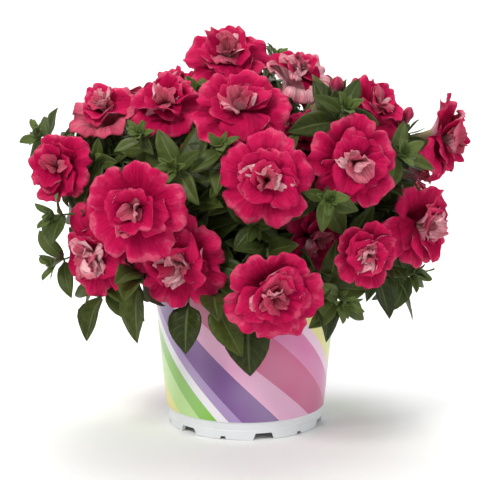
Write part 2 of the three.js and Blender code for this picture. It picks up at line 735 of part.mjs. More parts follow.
// A leafy shoot: its stem with a whorl of large leaves, an open one nearer its tip and an upright
// one at its end.
function makeShoot({ curve, whorls }, grow) {
  const thin = BRANCH_RADIUS + grow;
  const towards = firstAngle(whorls[0]);
  const across = vec(Math.cos(towards), Math.sin(towards), 0).transformDirection(whorls[0].frame);
  const rings = stemRings(curve, STEM_STEPS, STEM_SIDES, thin, thin, across);
  whorls.forEach((whorl, i) => {
    const neckPoint = (a) => polar(a, thin, -NECK_DEPTH).applyMatrix4(whorl.frame);
    const neck = ringOf(STEM_SIDES, neckPoint, firstAngle(whorl));
    if (i > 0) rings.push(neck);
    rings.push(...whorlRings(whorl, LEAF_THICKNESS, LEAF_HEART, grow));
  });
  return loft(curve[0], rings, vec(0, 0, SHOOT_POINT + grow).applyMatrix4(whorls.at(-1).frame));
}

function stemPlan([name, azimuth, distance], index, blooms, others) {
  const random = seeded(33 + index);
  const root = facing(azimuth, 0).multiplyScalar(distance).setZ(COMPOST_TOP - ROOT_DEPTH + 2);
  const own = blooms.filter((bloom) => bloom.stem === name);
  const mean = own.reduce((sum, bloom) => sum.add(bloom.base), vec(0, 0, 0)).divideScalar(own.length);
  const crown = root.clone().lerp(mean, CROWN_SHARE);
  crown.setZ(Math.max(crown.z, LOWEST_CROWN));
  const ground = root.clone().setZ(COMPOST_TOP + 14);
  const main = [root, ground, ground.clone().lerp(crown, 0.45).setZ(0.45 * ground.z + 0.55 * crown.z), crown];
  const branchTo = (from, end, towards, share) => {
    const start = pointOn(main, from);
    const length = start.distanceTo(end);
    return [
      start,
      start.clone().addScaledVector(tangentOn(main, from), 0.35 * length),
      end.clone().addScaledVector(towards, -share * length),
      end,
    ];
  };
  const stalkTo = ({ base, direction, frame }, from) => ({
    curve: branchTo(from, base.clone().addScaledVector(direction, -CALYX_DEPTH), direction, 0.4),
    frame,
  });
  const budsHere = BUDS.filter((row) => row[0] === name).map(budPlan);
  const stalks = [
    ...own.map((bloom, i) => stalkTo(bloom, 0.98 - 0.3 * (i / own.length))),
    ...budsHere.map((bud) => stalkTo(bud, 0.94)),
  ];
  const rows = SHOOTS.filter((row) => row[0] === name);
  const shoots = rows.map(([, x, y, z, az, el, length], i) => {
    const direction = facing(az, el);
    const tip = vec(x, y, z);
    const end = tip.clone().addScaledVector(direction, -WHORLS[0].back - 2);
    const curve = branchTo(0.9 - 0.25 * (i / rows.length), end, direction, 0.35);
    const turn = random() * Math.PI;
    const whorls = WHORLS.map((kind, k) => whorlPlan(
      kind, turn + ((k % 2) * Math.PI) / kind.count, tip, direction, length, random, blooms, others,
    ));
    return { curve, whorls };
  });
  const lowLeaves = LOW_LEAVES.filter((row) => row[0] === name).map((row) => lowLeafPlan(row, main, others));
  return { name, main, stalks, shoots, lowLeaves };
}

// A leaf that hangs over the rim, and the thin stem that carries it out there.
function lowLeafPlan([, x, y, z, azimuth, elevation, length, width], main, others) {
  const base = vec(x, y, z);
  const over = base.clone().sub(main[0]).setZ(0).normalize();
  const up = over.clone().addScaledVector(UP, 0.3);
  const leaf = { base, direction: facing(azimuth, elevation), up, length, width, fold: 0.3, droop: 0.12 };
  const start = pointOn(main, 0.45);
  const curve = [
    start,
    start.clone().lerp(base, 0.5).setZ(POT_HEIGHT + 30),
    base.clone().addScaledVector(over, -2).setZ(base.z + 22),
    base,
  ];
  others.push(...leafSamples(leaf));
  return { leaf, curve };
}

function makeStem({ main, stalks, shoots, lowLeaves }, grow) {
  const thin = BRANCH_RADIUS + grow;
  return wasm.Manifold.union([
    tube(main, 4, 4, STEM_RADIUS + grow, thin + 0.3),
    ...stalks.map((stalk) => makeStalk(stalk, grow)),
    ...shoots.map((shoot) => makeShoot(shoot, grow)),
    ...lowLeaves.map(({ curve }) => tube(curve, STEM_STEPS, STEM_SIDES, thin, thin)),
    ...lowLeaves.map(({ leaf }) => makeLeaf(leaf, grow)),
  ]);
}

function budPlan([, x, y, z, azimuth, elevation, length, radius]) {
  const direction = facing(azimuth, elevation);
  const base = vec(x, y, z).addScaledVector(direction, -length);
  return { direction, base, frame: frameAlong(direction, base), length, radius };
}

const blooms = BLOOMS.map(bloomPlan);
const leafPoints = [];
const stems = STEMS.map((row, index) => stemPlan(row, index, blooms, leafPoints));

// Each piece is made a second time a little larger, and that room is cut from whatever is placed after it.
const placed = [];
function place(name, make, color, roughness) {
  const whole = make(0);
  const rooms = placed.map((other) => other.room);
  const clear = rooms.length ? whole.subtract(wasm.Manifold.union(rooms)) : whole;
  placed.push({ name, solid: largestBody(clear.simplify(SLIVER)), room: make(GAP), color, roughness });
}

const holes = stems.map((stem) => stem.main[0]);
place("pot", makePot, POT_WHITE, 0.4);
place("compost", (grow) => makeCompost(holes, grow), COMPOST_BROWN, 0.95);
for (const bloom of blooms) {
  const make = (grow) => makeBloom(bloom, grow).transform(bloom.frame.toArray());
  place(`bloom_${bloom.name}`, make, RED, 0.55);
}
BUDS.map(budPlan).forEach((bud, index) => {
  const make = (grow) => makeBud(bud.length, bud.radius, grow).transform(bud.frame.toArray());
  place(`bud_${index + 1}`, make, BUD_RED, 0.55);
});
for (const stem of stems) place(`leafy_stem_${stem.name}`, (grow) => makeStem(stem, grow), GREEN, 0.6);

const petunia = new THREE.Group();
petunia.name = "potted_petunia";
for (const { name, solid, color, roughness } of placed) petunia.add(meshOf(name, solid, color, roughness));

export default petunia;
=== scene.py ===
"""A double petunia in bloom in a printed plastic nursery pot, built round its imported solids.

The planting plan is the same one that the solids are made from, in millimetres, so every fine piece
grows where its solid stands: each bloom, each bud and each leafy stem replaces the solid of its own name.
"""

import math
from functools import lru_cache, partial

import bmesh
import bpy
import numpy as np
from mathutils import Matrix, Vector


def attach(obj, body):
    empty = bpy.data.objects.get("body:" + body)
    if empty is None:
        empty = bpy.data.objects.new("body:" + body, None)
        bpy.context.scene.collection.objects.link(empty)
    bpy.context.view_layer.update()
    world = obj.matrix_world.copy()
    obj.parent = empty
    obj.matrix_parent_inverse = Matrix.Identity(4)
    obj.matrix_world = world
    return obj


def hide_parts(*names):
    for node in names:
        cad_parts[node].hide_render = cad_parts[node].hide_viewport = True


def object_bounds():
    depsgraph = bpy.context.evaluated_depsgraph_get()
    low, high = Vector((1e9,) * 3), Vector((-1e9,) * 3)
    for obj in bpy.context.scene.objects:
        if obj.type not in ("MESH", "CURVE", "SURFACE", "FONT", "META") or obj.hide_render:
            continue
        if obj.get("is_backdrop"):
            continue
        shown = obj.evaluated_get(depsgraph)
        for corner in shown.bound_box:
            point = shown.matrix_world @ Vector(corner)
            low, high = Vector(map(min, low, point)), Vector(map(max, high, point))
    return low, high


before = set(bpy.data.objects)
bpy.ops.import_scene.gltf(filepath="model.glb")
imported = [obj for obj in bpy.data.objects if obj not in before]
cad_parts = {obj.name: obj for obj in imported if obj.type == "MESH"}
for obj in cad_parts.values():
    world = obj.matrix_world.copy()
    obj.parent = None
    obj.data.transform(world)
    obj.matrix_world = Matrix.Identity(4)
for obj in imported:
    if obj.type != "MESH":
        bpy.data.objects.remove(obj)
cad_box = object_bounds()

MM = 0.001

# The photograph's camera: a long lens a little above the plant
CAMERA_PLACE = (-3.5, -1246, 369)
CAMERA_TARGET = (-3.5, 0, 123)
CAMERA_LENS = 142.95
SENSOR = 36

# The pot
POT_HEIGHT = 115
RIM_RADIUS = 65
RIM_HEIGHT = 8
WALL_TOP_RADIUS = 62.4
WALL_FOOT_RADIUS = 53.4
FOOT_HEIGHT = 12
FOOT_RADIUS = 51.6
WALL = 1.5
FLOOR_UNDERSIDE = 7
FLOOR_TOP = FLOOR_UNDERSIDE + 2
NOTCHES = 6
WIDE_NOTCH = (15, 4.5)
NARROW_NOTCH = (5, 2.2)
FIRST_NOTCH_DEG = 13.5
DRAIN_HOLE_RADIUS = 4.5
DRAIN_PITCH_RADIUS = 36
DRAIN_SIDES = 24

# The plant: TUBE_LENGTH and RIM_PLANE are those of blooms of FULL_RADIUS and up, and of each a smaller
# bloom has one fixed share and one that grows with its radius
GAP = 0.35
COMPOST_TOP = 104
ROOT_DEPTH = 12
ROOT_END_RISE = 2
STEM_RADIUS = 2.5
BRANCH_RADIUS = 1.25
CALYX_DEPTH = 4
TUBE_LENGTH = 19
TUBE_SHARES = (0.45, 0.55)
RIM_PLANE = 27
RIM_SHARES = (0.55, 0.45)
FULL_RADIUS = 30
THROAT_RADIUS = 7
LOBES = 5
LEAF_SHEET = 0.35
PETAL_SHEET = 0.3

# Each bloom: its leafy stem, the centre of its face, the way it faces (azimuth from the front towards +X,
# and elevation, in degrees) and its diameter.
BLOOMS = [
    ("low_right", "front_right", 17, -112, 112, 5, -12, 62),
    ("left_heart", "left_front", -67, -104, 163, -12, 8, 62),
    ("heart", "front_mid", 13, -100, 180, 0, 5, 60),
    ("right_heart", "right_mid", 67, -78, 187, 12, 10, 58),
    ("low_left", "front_low", -41, -82, 126, -12, -8, 62),
    ("left_low", "left_front", -95, -62, 127, -35, -8, 60),
    ("left_small", "left_front", -119, -45, 179, -30, 10, 48),
    ("right_low", "right_low", 112, -42, 141, 45, -3, 60),
    ("right_far", "right_low", 130, -8, 192, 68, 5, 60),
    ("low_right_small", "right_low", 75, -80, 130, 15, -3, 44),
    ("brow", "front_mid", -3, -66, 219, 0, 35, 62),
    ("shoulder_left", "left_top", -50, -42, 219, -8, 45, 48),
    ("cap_left", "left_top", -91, -18, 211, -30, 60, 50),
    ("crown", "top", -12, 10, 244, -5, 45, 58),
    ("cap_right", "top", 34, -20, 236, 25, 60, 48),
    ("shoulder_right", "right_mid", 84, -30, 216, 40, 35, 46),
    ("half_open", "right_mid", 37, -50, 204, 10, 25, 28),
    ("tucked", "front_mid", 44, -58, 135, 15, -5, 42),
    ("back_cap_left", "top", -48, 24, 222, -40, 60, 40),
    ("rear_left_low", "back_left", -100, 44, 150, -115, 5, 58),
    ("rear_left_high", "back_left", -68, 62, 200, -135, 35, 54),
    ("rear_low_left", "back", -50, 96, 146, -155, 0, 58),
    ("rear_high", "back", -6, 72, 212, 180, 40, 58),
    ("rear_low", "back", 9, 110, 150, 175, 3, 60),
    ("rear_low_right", "back_right", 67, 90, 142, 145, 0, 58),
    ("rear_right_high", "back_right", 54, 48, 210, 130, 38, 54),
    ("rear_right_far", "back_right", 112, 46, 162, 108, 8, 54),
]

# Each shoot tip: its leafy stem, its place, the way it points, and the length of its longest leaves.
SHOOTS = [
    ("left_top", -131, -22, 196, -70, 25, 26),
    ("left_front", -121, -55, 150, -70, 0, 27),
    ("left_front", -122, -36, 116, -75, -15, 27),
    ("front_mid", -15, -84, 198, -10, 35, 24),
    ("right_mid", 62, -66, 219, 20, 35, 25),
    ("right_mid", 50, -92, 167, 15, 0, 26),
    ("right_low", 98, -52, 189, 35, 20, 27),
    ("left_top", -97, -40, 183, -40, 20, 26),
    ("top", -32, -14, 224, -20, 55, 22),
    ("front_low", -44, -84, 184, -25, 10, 26),
    ("left_top", -66, -56, 201, -20, 35, 22),
    ("front_mid", 6, -68, 146, 5, -5, 26),
    ("front_right", 60, -82, 100, 28, -22, 28),
    ("right_low", 108, -28, 108, 60, -20, 30),
    ("top", 20, 28, 240, 60, 65, 24),
    ("back_left", -122, 24, 163, -100, 5, 28),
    ("back_left", -96, 38, 196, -110, 40, 26),
    ("back", -24, 98, 184, -170, 25, 27),
    ("back", -14, 108, 112, 180, -20, 30),
    ("back_right", 38, 82, 184, 155, 25, 27),
    ("back_right", 84, 74, 116, 130, -15, 28),
    ("right_low", 124, 18, 134, 95, -5, 28),
]

# Each leaf that hangs low over the rim: its leafy stem, its base, the way its tip points,
# its length and its width.
LOW_LEAVES = [
    ("front_low", -68, -74, 108, -10, -62, 36, 25),
    ("front_low", -36, -76, 98, -15, -66, 32, 24),
    ("front_low", -20, -82, 99, 45, -50, 38, 20),
    ("front_right", 2, -76, 92, -4, -68, 40, 30),
    ("front_right", 46, -72, 104, 25, -50, 32, 22),
    ("left_front", -92, -52, 98, -40, -50, 32, 22),
    ("right_low", 83, -47, 112, 50, -60, 32, 22),
    ("right_low", 92, -20, 104, 75, -45, 34, 24),
    ("back_left", -86, 14, 104, -80, -40, 36, 25),
    ("back_left", -50, 70, 104, -145, -48, 34, 24),
    ("back", 4, 82, 102, 175, -50, 36, 25),
    ("back_right", 52, 68, 104, 140, -46, 34, 24),
    ("back_right", 84, 34, 106, 105, -42, 34, 24),
]

# Each leafy stem: where it leaves the compost, as an azimuth and a distance from the pot's axis.
STEMS = [
    ("front_low", -35, 34),
    ("front_mid", 0, 20),
    ("front_right", 22, 36),
    ("left_front", -68, 34),
    ("left_top", -80, 16),
    ("right_mid", 55, 18),
    ("right_low", 66, 36),
    ("top", 170, 5),
    ("back_left", -120, 30),
    ("back", 178, 32),
    ("back_right", 130, 30),
]

# Each closed bud: its leafy stem, the place of its tip, the way it points, its length and its radius.
BUDS = [
    ("right_mid", 58, -52, 238, 8, 66, 20, 4),
    ("right_low", 106, -32, 216, 30, 55, 22, 3.6),
    ("left_top", -37, -56, 196, -12, 40, 24, 5),
    ("back", 16, 66, 240, 170, 60, 22, 3.6),
]

# A main stem: how far it reaches towards its blooms, how far it stands straight up out of the compost,
# and where it bends, as shares of the way from there to its crown
LOWEST_CROWN = POT_HEIGHT + 15
CROWN_SHARE = 0.68
STRAIGHT_RISE = 14
BEND_SHARE = 0.45
BEND_HEIGHT = 0.55

# Branches: where the highest stalk, bud and shoot leave the main stem and how far down the others are
# spread, how straight they leave it, and how straight they reach their ends
STALK_START, STALK_SPREAD, STALK_STRAIGHT = 0.98, 0.3, 0.4
BUD_START = 0.94
SHOOT_START, SHOOT_SPREAD, SHOOT_STRAIGHT = 0.9, 0.25, 0.35
SHOOT_END_BELOW_WHORL = 2
BRANCH_STRAIGHT = 0.35

# A low leaf's stem: where it leaves the main stem, how high its middle is, and how high it comes over
LOW_START = 0.45
LOW_MIDDLE = POT_HEIGHT + 30
LOW_RISE = 22

# How far a leaf and a filler leaf stay from a bloom and from other leaves, how far both stay from the pot,
# and how far a leaf of a whorl droops and folds
LEAF_CLEARANCE = 1.5
LEAF_SPACING = 3
FILLER_CLEARANCE = 0.2
FILLER_SPACING = 2.2
POT_CLEARANCE = 4
WHORL_DROOP = 0.14
WHORL_FOLD = 0.25

# The room that a bloom takes up for its leaves: a tube of NECK_RADIUS, a flare from FLARE_START of the way
# up to the rim, and a heart of HEART_SHARE of the radius from HEART_FOOT to HEART_TOP above the rim
NECK_RADIUS = 8
FLARE_START = 0.6
HEART_SHARE = 0.7
HEART_FOOT = 5
HEART_TOP = 14
BELOW_BASE = 2

# What a leaf may do to be clear of the rest: its size, how far it is raised, how far it is turned
LEAF_TRIALS = [
    (1, 0, 0), (1, -0.25, 0), (1, 0.3, 0), (1, 0, 0.1), (1, 0, -0.1), (0.85, -0.2, 0.1),
    (0.85, 0.2, -0.1), (0.7, 0, 0), (0.7, -0.25, 0), (0.7, 0.3, 0), (0.5, 0, 0), (0.3, 0, 0),
]

# Whorls of leaves: how many, how long against the shoot's longest, how far they open, the least
# and the most that they may open, how far back from the tip, and how wide
WHORLS = [(4, 1.25, 86, 70, 108, 17, 0.5), (4, 1, 66, 54, 80, 5, 0.44), (3, 0.66, 36, 26, 42, 0, 0.42)]

# The two whorls of petals that the solids have: how long against the bloom's radius, how open,
# how far up, how wide
OUTER_PETALS = (0.7, 54, 1.2, 0.95)
INNER_PETALS = (0.48, 30, 5, 0.6)
PETAL_START = 0.45

# The first seed of each kind of draw. A turn that is drawn by chance is a share of CHANCE_TURN, which is
# about a full circle.
SPIN_SEED = 7
STEM_SEED = 33
BLOOM_SEED = 101
FILLER_SEED = 12
CHANCE_TURN = 6.28

UP = np.array((0.0, 0.0, 1.0))
NEARLY_UPRIGHT = 0.98


def seeded(seed):
    """A source of numbers from 0 to 1 that gives the same ones each time."""
    state = [(seed * 2654435761) % 2**32]

    def draw():
        state[0] = (state[0] * 1664525 + 1013904223) % 2**32
        return state[0] / 2**32

    return draw


def unit(vector):
    """A vector of the same direction and length 1."""
    return vector / np.linalg.norm(vector)


def facing(azimuth, elevation):
    """The direction of an azimuth, from the front towards +X, and an elevation, in degrees."""
    a, e = math.radians(azimuth), math.radians(elevation)
    return np.array((math.sin(a) * math.cos(e), -math.cos(a) * math.cos(e), math.sin(e)))


def about_axis(angle):
    """A turn about the third axis."""
    cos, sin = math.cos(angle), math.sin(angle)
    return np.array([[cos, -sin, 0], [sin, cos, 0], [0, 0, 1]])


def frame_along(direction, origin):
    """A frame whose third axis is the direction, and whose second is as near to up as that allows."""
    z = unit(direction)
    side = np.array((0.0, 1.0, 0.0)) if abs(z[2]) > NEARLY_UPRIGHT else UP
    x = unit(np.cross(side, z))
    frame_made = np.eye(4)
    frame_made[:3] = np.column_stack((x, np.cross(z, x), z, origin))
    return frame_made


def moved(place, points):
    """Points of a frame, as points of the whole."""
    return np.asarray(points) @ place[:3, :3].T + place[:3, 3]


def polar(angle, radius, height):
    """Points at an angle and a radius round the third axis, and at a height along it."""
    parts = np.broadcast_arrays(radius * np.cos(angle), radius * np.sin(angle), height)
    return np.stack(parts, axis=-1).astype(float)


def ring_angles(count):
    """The angles of evenly spaced points round a circle."""
    return np.arange(count) * 2 * math.pi / count


def point_on(curve, t):
    """The point at a share of a cubic curve, which is given by its ends and two points between them."""
    a, b, c, d = curve
    s = 1 - t
    return a * s**3 + 3 * b * s * s * t + 3 * c * s * t * t + d * t**3


def tangent_on(curve, t):
    """The direction of a curve at a share of it."""
    return unit(point_on(curve, min(1, t + 0.01)) - point_on(curve, max(0, t - 0.01)))


def sized(length, shares, radius):
    """A length of a full-sized bloom, as a bloom of this radius has it."""
    fixed, growing = shares
    return length * min(1, fixed + growing * radius / FULL_RADIUS)


def bloom_plan(row, index):
    """A bloom's sizes and its frame, which stands at the foot of its tube and looks out of its face."""
    name, stem, x, y, z, azimuth, elevation, diameter = row
    direction = facing(azimuth, elevation)
    radius = diameter / 2
    rim_height = sized(RIM_PLANE, RIM_SHARES, radius)
    base = np.array((x, y, z)) - direction * rim_height
    place = frame_along(direction, base)
    place[:3, :3] = place[:3, :3] @ about_axis(seeded(SPIN_SEED + index)() * CHANCE_TURN)
    return {
        "name": name,
        "stem": stem,
        "direction": direction,
        "radius": radius,
        "rim_height": rim_height,
        "tube_top": sized(TUBE_LENGTH, TUBE_SHARES, radius),
        "base": base,
        "frame": place,
        "seed": BLOOM_SEED + index,
    }


def bud_plan(row):
    """A bud's sizes and its frame, which stands at its foot and looks to its tip."""
    _, x, y, z, azimuth, elevation, length, radius = row
    direction = facing(azimuth, elevation)
    base = np.array((x, y, z)) - direction * length
    return {
        "direction": direction,
        "base": base,
        "frame": frame_along(direction, base),
        "length": length,
        "radius": radius,
    }


def outside_bloom(points, bloom):
    """How far points are outside a bloom, measured across the bloom's axis."""
    away = points - bloom["base"]
    height = away @ bloom["direction"]
    across = np.sqrt(np.maximum(0, (away**2).sum(axis=-1) - height**2))
    rim, radius = bloom["rim_height"], bloom["radius"]
    flare = (height / rim - FLARE_START) / (1 - FLARE_START)
    reach = NECK_RADIUS + (radius - NECK_RADIUS) * np.clip(flare, 0, 1)
    reach = np.where(height > rim + HEART_FOOT, HEART_SHARE * radius, reach)
    return np.where((height < -BELOW_BASE) | (height > rim + HEART_TOP), np.inf, across - reach)


def is_clear(samples, blooms, others, clearance=LEAF_CLEARANCE, spacing=LEAF_SPACING):
    """Whether a leaf's sample points are clear of the blooms, the pot and the leaves before it."""
    if any((outside_bloom(samples, bloom) < clearance).any() for bloom in blooms):
        return False
    low = samples[:, 2] <= POT_HEIGHT + POT_CLEARANCE
    near = np.hypot(samples[:, 0], samples[:, 1]) <= RIM_RADIUS + POT_CLEARANCE
    if (low & near).any():
        return False
    if not others:
        return True
    apart = np.linalg.norm(np.array(others)[None, :, :] - samples[:, None, :], axis=2)
    return apart.min() >= spacing


def whorl_points(leaf, shares, sides):
    """Points of a whorl's leaf, at shares of its length and on sides from -1 to 1, in the whorl's frame."""
    along = leaf["reach"] * shares
    flat = math.sin(leaf["tilt"]) * along
    aside = sides * leaf["width"] / 2
    rise = math.cos(leaf["tilt"]) * along - WHORL_DROOP * along * shares + WHORL_FOLD * np.abs(aside)
    return polar(leaf["angle"] + np.arctan2(aside, flat), np.hypot(flat, aside), rise)


def clear_whorl_leaf(wanted, place, blooms, others):
    """A leaf of a whorl, raised, lowered or shortened until it is clear."""
    shares = np.array((0.55, 0.55, 0.8, 0.8, 0.65, 1))
    sides = np.array((-1, 1, -0.5, 0.5, 0, 0))
    leaf = wanted
    for size, rise, turn in LEAF_TRIALS:
        leaf = dict(wanted, reach=wanted["reach"] * size, width=wanted["width"] * size,
                    tilt=min(max(wanted["tilt"] + rise, wanted["least"]), wanted["most"]),
                    angle=wanted["angle"] + turn)
        samples = moved(place, whorl_points(leaf, shares, sides))
        if is_clear(samples, blooms, others):
            others.extend(samples)
            break
    return leaf


def whorl_plan(kind, turn, tip, direction, length, random, blooms, others):
    """The leaves that stand round a stem at one height."""
    count, share, opened, least, most, back, width = kind
    place = frame_along(direction, tip - direction * back)
    leaves = []
    for i in range(count):
        angle = turn + (2 * math.pi * (i + 0.2 * (random() - 0.5))) / count
        tilt = math.radians(opened + 14 * (random() - 0.5))
        reach = length * share * (0.86 + 0.28 * random())
        limits = {"least": math.radians(least), "most": math.radians(most)}
        wanted = {"angle": angle, "tilt": tilt, "reach": reach, "width": width * reach, **limits}
        leaves.append(clear_whorl_leaf(wanted, place, blooms, others))
    return {"frame": place, "leaves": leaves}


def low_leaf_plan(row, main, others):
    """A leaf that hangs over the rim, and the thin stem that carries it out there."""
    _, x, y, z, azimuth, elevation, length, width = row
    base = np.array((x, y, z), dtype=float)
    over = unit((base - main[0]) * (1, 1, 0))
    tip_way = facing(azimuth, elevation)
    leaf = blade_plan(base, tip_way, over + 0.3 * UP, length, width, fold=0.3, droop=0.12)
    start = point_on(main, LOW_START)
    middle = (start + base) / 2
    middle[2] = LOW_MIDDLE
    above = base - 2 * over
    above[2] = base[2] + LOW_RISE
    others.extend(blade_samples(leaf))
    return {"leaf": leaf, "curve": [start, middle, above, base]}


def main_stem(azimuth, distance, own):
    """The curve of a main stem, from its hole in the compost to a crown under its own blooms."""
    root = facing(azimuth, 0) * distance
    root[2] = COMPOST_TOP - ROOT_DEPTH + ROOT_END_RISE
    mean = sum(bloom["base"] for bloom in own) / len(own)
    crown = root + (mean - root) * CROWN_SHARE
    crown[2] = max(crown[2], LOWEST_CROWN)
    ground = np.array((root[0], root[1], COMPOST_TOP + STRAIGHT_RISE))
    bend = ground + (crown - ground) * (BEND_SHARE, BEND_SHARE, BEND_HEIGHT)
    return [root, ground, bend, crown]


def branch(main, t, end, towards, straight):
    """The curve of a branch, which leaves its main stem at a share of its length and ends towards a way."""
    start = point_on(main, t)
    length = np.linalg.norm(end - start)
    leaving = start + tangent_on(main, t) * BRANCH_STRAIGHT * length
    return [start, leaving, end - towards * straight * length, end]


def stalk_plan(main, t, top):
    """The stalk of a bloom or a bud."""
    end = top["base"] - top["direction"] * CALYX_DEPTH
    return {"curve": branch(main, t, end, top["direction"], STALK_STRAIGHT), "frame": top["frame"]}


def shoot_plan(main, t, row, random, blooms, others):
    """A leafy shoot with its whorls of leaves."""
    _, x, y, z, azimuth, elevation, length = row
    direction = facing(azimuth, elevation)
    tip = np.array((x, y, z), dtype=float)
    end = tip - direction * (WHORLS[0][5] + SHOOT_END_BELOW_WHORL)
    turn = random() * math.pi
    whorls = []
    for k, kind in enumerate(WHORLS):
        start = turn + (k % 2) * math.pi / kind[0]
        whorls.append(whorl_plan(kind, start, tip, direction, length, random, blooms, others))
    curve = branch(main, t, end, direction, SHOOT_STRAIGHT)
    return {"curve": curve, "whorls": whorls, "tip": tip, "direction": direction}


def stem_plan(row, index, blooms, others):
    """A leafy stem: its main stem, its flower stalks, its leafy shoots and its low leaves."""
    name, azimuth, distance = row
    random = seeded(STEM_SEED + index)
    own = [bloom for bloom in blooms if bloom["stem"] == name]
    main = main_stem(azimuth, distance, own)
    stalks = []
    for i, bloom in enumerate(own):
        stalks.append(stalk_plan(main, STALK_START - STALK_SPREAD * (i / len(own)), bloom))
    stalks += [stalk_plan(main, BUD_START, bud_plan(bud)) for bud in BUDS if bud[0] == name]
    rows = [shoot for shoot in SHOOTS if shoot[0] == name]
    shoots = []
    for i, shoot in enumerate(rows):
        t = SHOOT_START - SHOOT_SPREAD * (i / len(rows))
        shoots.append(shoot_plan(main, t, shoot, random, blooms, others))
    low_leaves = [low_leaf_plan(low, main, others) for low in LOW_LEAVES if low[0] == name]
    return {"name": name, "main": main, "stalks": stalks, "shoots": shoots, "low_leaves": low_leaves}


# A leaf blade is an origin, the vector to its tip, the way that it droops, the way across it, its face's
# normal, its width and how far it folds up from its midrib
def blade_plan(base, direction, up, length, width, fold, droop):
    """A blade that points in a direction, with its face as near to up as that allows."""
    along = unit(direction)
    normal = unit(up - along * (up @ along))
    return {
        "origin": base,
        "along": along * length,
        "droop": -normal * droop * length,
        "across": np.cross(normal, along),
        "normal": normal,
        "width": width,
        "fold": fold,
    }


def whorl_blade(place, leaf):
    """The blade of a leaf that stands round a stem."""
    tilt, reach = leaf["tilt"], leaf["reach"]
    out, across, axis = (place[:3, :3] @ about_axis(leaf["angle"])).T
    return {
        "origin": place[:3, 3] + 0.2 * axis,
        "along": reach * (math.sin(tilt) * out + math.cos(tilt) * axis),
        "droop": -WHORL_DROOP * reach * axis,
        "across": across,
        "normal": axis,
        "width": leaf["width"],
        "fold": WHORL_FOLD,
    }


def blade_outline(u):
    """A pointed oval that is widest below its middle: how much of its width a leaf has at a station."""
    return np.sin(math.pi * np.clip(u, 0, 1) ** 0.8) ** 0.85


def blade_points(leaf, u, v):
    """Points on a blade, from the share of its length u and the side v from -1 to 1."""
    half = leaf["width"] / 2 * blade_outline(u)
    u, v, half = (np.asarray(value)[..., None] for value in (u, v, half))
    return (leaf["origin"] + leaf["along"] * u + leaf["droop"] * u * u + leaf["across"] * v * half
            + leaf["normal"] * leaf["fold"] * np.abs(v) * half)


def blade_samples(leaf):
    """The points by which a blade is tried against blooms and other leaves."""
    u = np.array((0.35, 0.35, 0.35, 0.6, 0.6, 0.6, 0.85, 0.85, 0.85, 1))
    v = np.array((-1, 0, 1, -1, 0, 1, -1, 0, 1, 0))
    return blade_points(leaf, u, v)


# Meshes


class Gathered:
    """Points in millimetres, faces and values for each point, which become one mesh in metres."""

    def __init__(self, *names):
        self.points, self.faces, self.total = [], [], 0
        self.values = {name: [] for name in names}

    def add(self, points, faces, **values):
        """Adds points and their faces, with one value for each point or the same for all of them."""
        count = len(points)
        self.points.append(points)
        self.faces.append(faces + self.total)
        self.total += count
        for name, kept in self.values.items():
            kept.append(np.broadcast_to(np.ravel(values.get(name, 0.0)), (count,)))

    def made(self, name, *materials):
        """The object that all the points and faces make."""
        mesh = bpy.data.meshes.new(name)
        points = np.concatenate(self.points) * MM
        faces = np.concatenate(self.faces)
        mesh.vertices.add(len(points))
        mesh.vertices.foreach_set("co", points.ravel())
        mesh.loops.add(faces.size)
        mesh.loops.foreach_set("vertex_index", faces.ravel())
        mesh.polygons.add(len(faces))
        mesh.polygons.foreach_set("loop_start", np.arange(0, faces.size, 4))
        shade(mesh)
        mesh.update(calc_edges=True)
        for value, kept in self.values.items():
            layer = mesh.attributes.new(value, "FLOAT", "POINT")
            layer.data.foreach_set("value", np.concatenate(kept))
        for material in materials:
            mesh.materials.append(material)
        return placed(name, mesh)


def placed(name, data):
    """An object in the scene that shows a mesh, a curve, a lamp or a camera."""
    piece = bpy.data.objects.new(name, data)
    bpy.context.scene.collection.objects.link(piece)
    return piece


def shade(mesh, rounded=True):
    """Shades a mesh's faces as parts of a round surface, or each face as flat."""
    mesh.polygons.foreach_set("use_smooth", np.full(len(mesh.polygons), rounded))


@lru_cache(maxsize=None)
def sheet_faces(rows, columns, round_about):
    """The four-sided faces of a closed thin sheet: its upper and under faces and the walls between them."""
    last = columns if round_about else columns - 1
    i, j = (grid.ravel() for grid in np.meshgrid(np.arange(rows - 1), np.arange(last), indexing="ij"))
    k = (j + 1) % columns
    here, there = i * columns, (i + 1) * columns
    upper = np.stack((here + j, there + j, there + k, here + k), axis=1)
    below = rows * columns
    edge = []
    for c in range(last):
        d = (c + 1) % columns
        edge.append((d, c))
        edge.append(((rows - 1) * columns + c, (rows - 1) * columns + d))
    if not round_about:
        for r in range(rows - 1):
            edge.append((r * columns, (r + 1) * columns))
            edge.append(((r + 1) * columns + last, r * columns + last))
    walls = np.array([(b, a, a + below, b + below) for a, b in edge])
    return np.concatenate((upper, upper[:, ::-1] + below, walls))


def grid_normals(grid, round_about):
    """The normal of a surface at each point of its grid."""
    along = np.gradient(grid, axis=0)
    if round_about:
        across = np.roll(grid, -1, axis=1) - np.roll(grid, 1, axis=1)
    else:
        across = np.gradient(grid, axis=1)
    normal = np.cross(along, across)
    size = np.linalg.norm(normal, axis=2, keepdims=True)
    return normal / np.where(size < 1e-9, 1, size)


def add_sheet(gathered, grid, thickness, round_about=False, **values):
    """A closed thin sheet on a grid of points. Its under face is marked back."""
    offset = grid_normals(grid, round_about) * thickness / 2
    points = np.concatenate(((grid + offset).reshape(-1, 3), (grid - offset).reshape(-1, 3)))
    rows, columns = grid.shape[:2]
    doubled = {}
    for name, value in values.items():
        doubled[name] = np.tile(np.broadcast_to(value, (rows, columns)).ravel(), 2)
    doubled["back"] = np.repeat((0.0, 1.0), rows * columns)
    gathered.add(points, sheet_faces(rows, columns, round_about), **doubled)


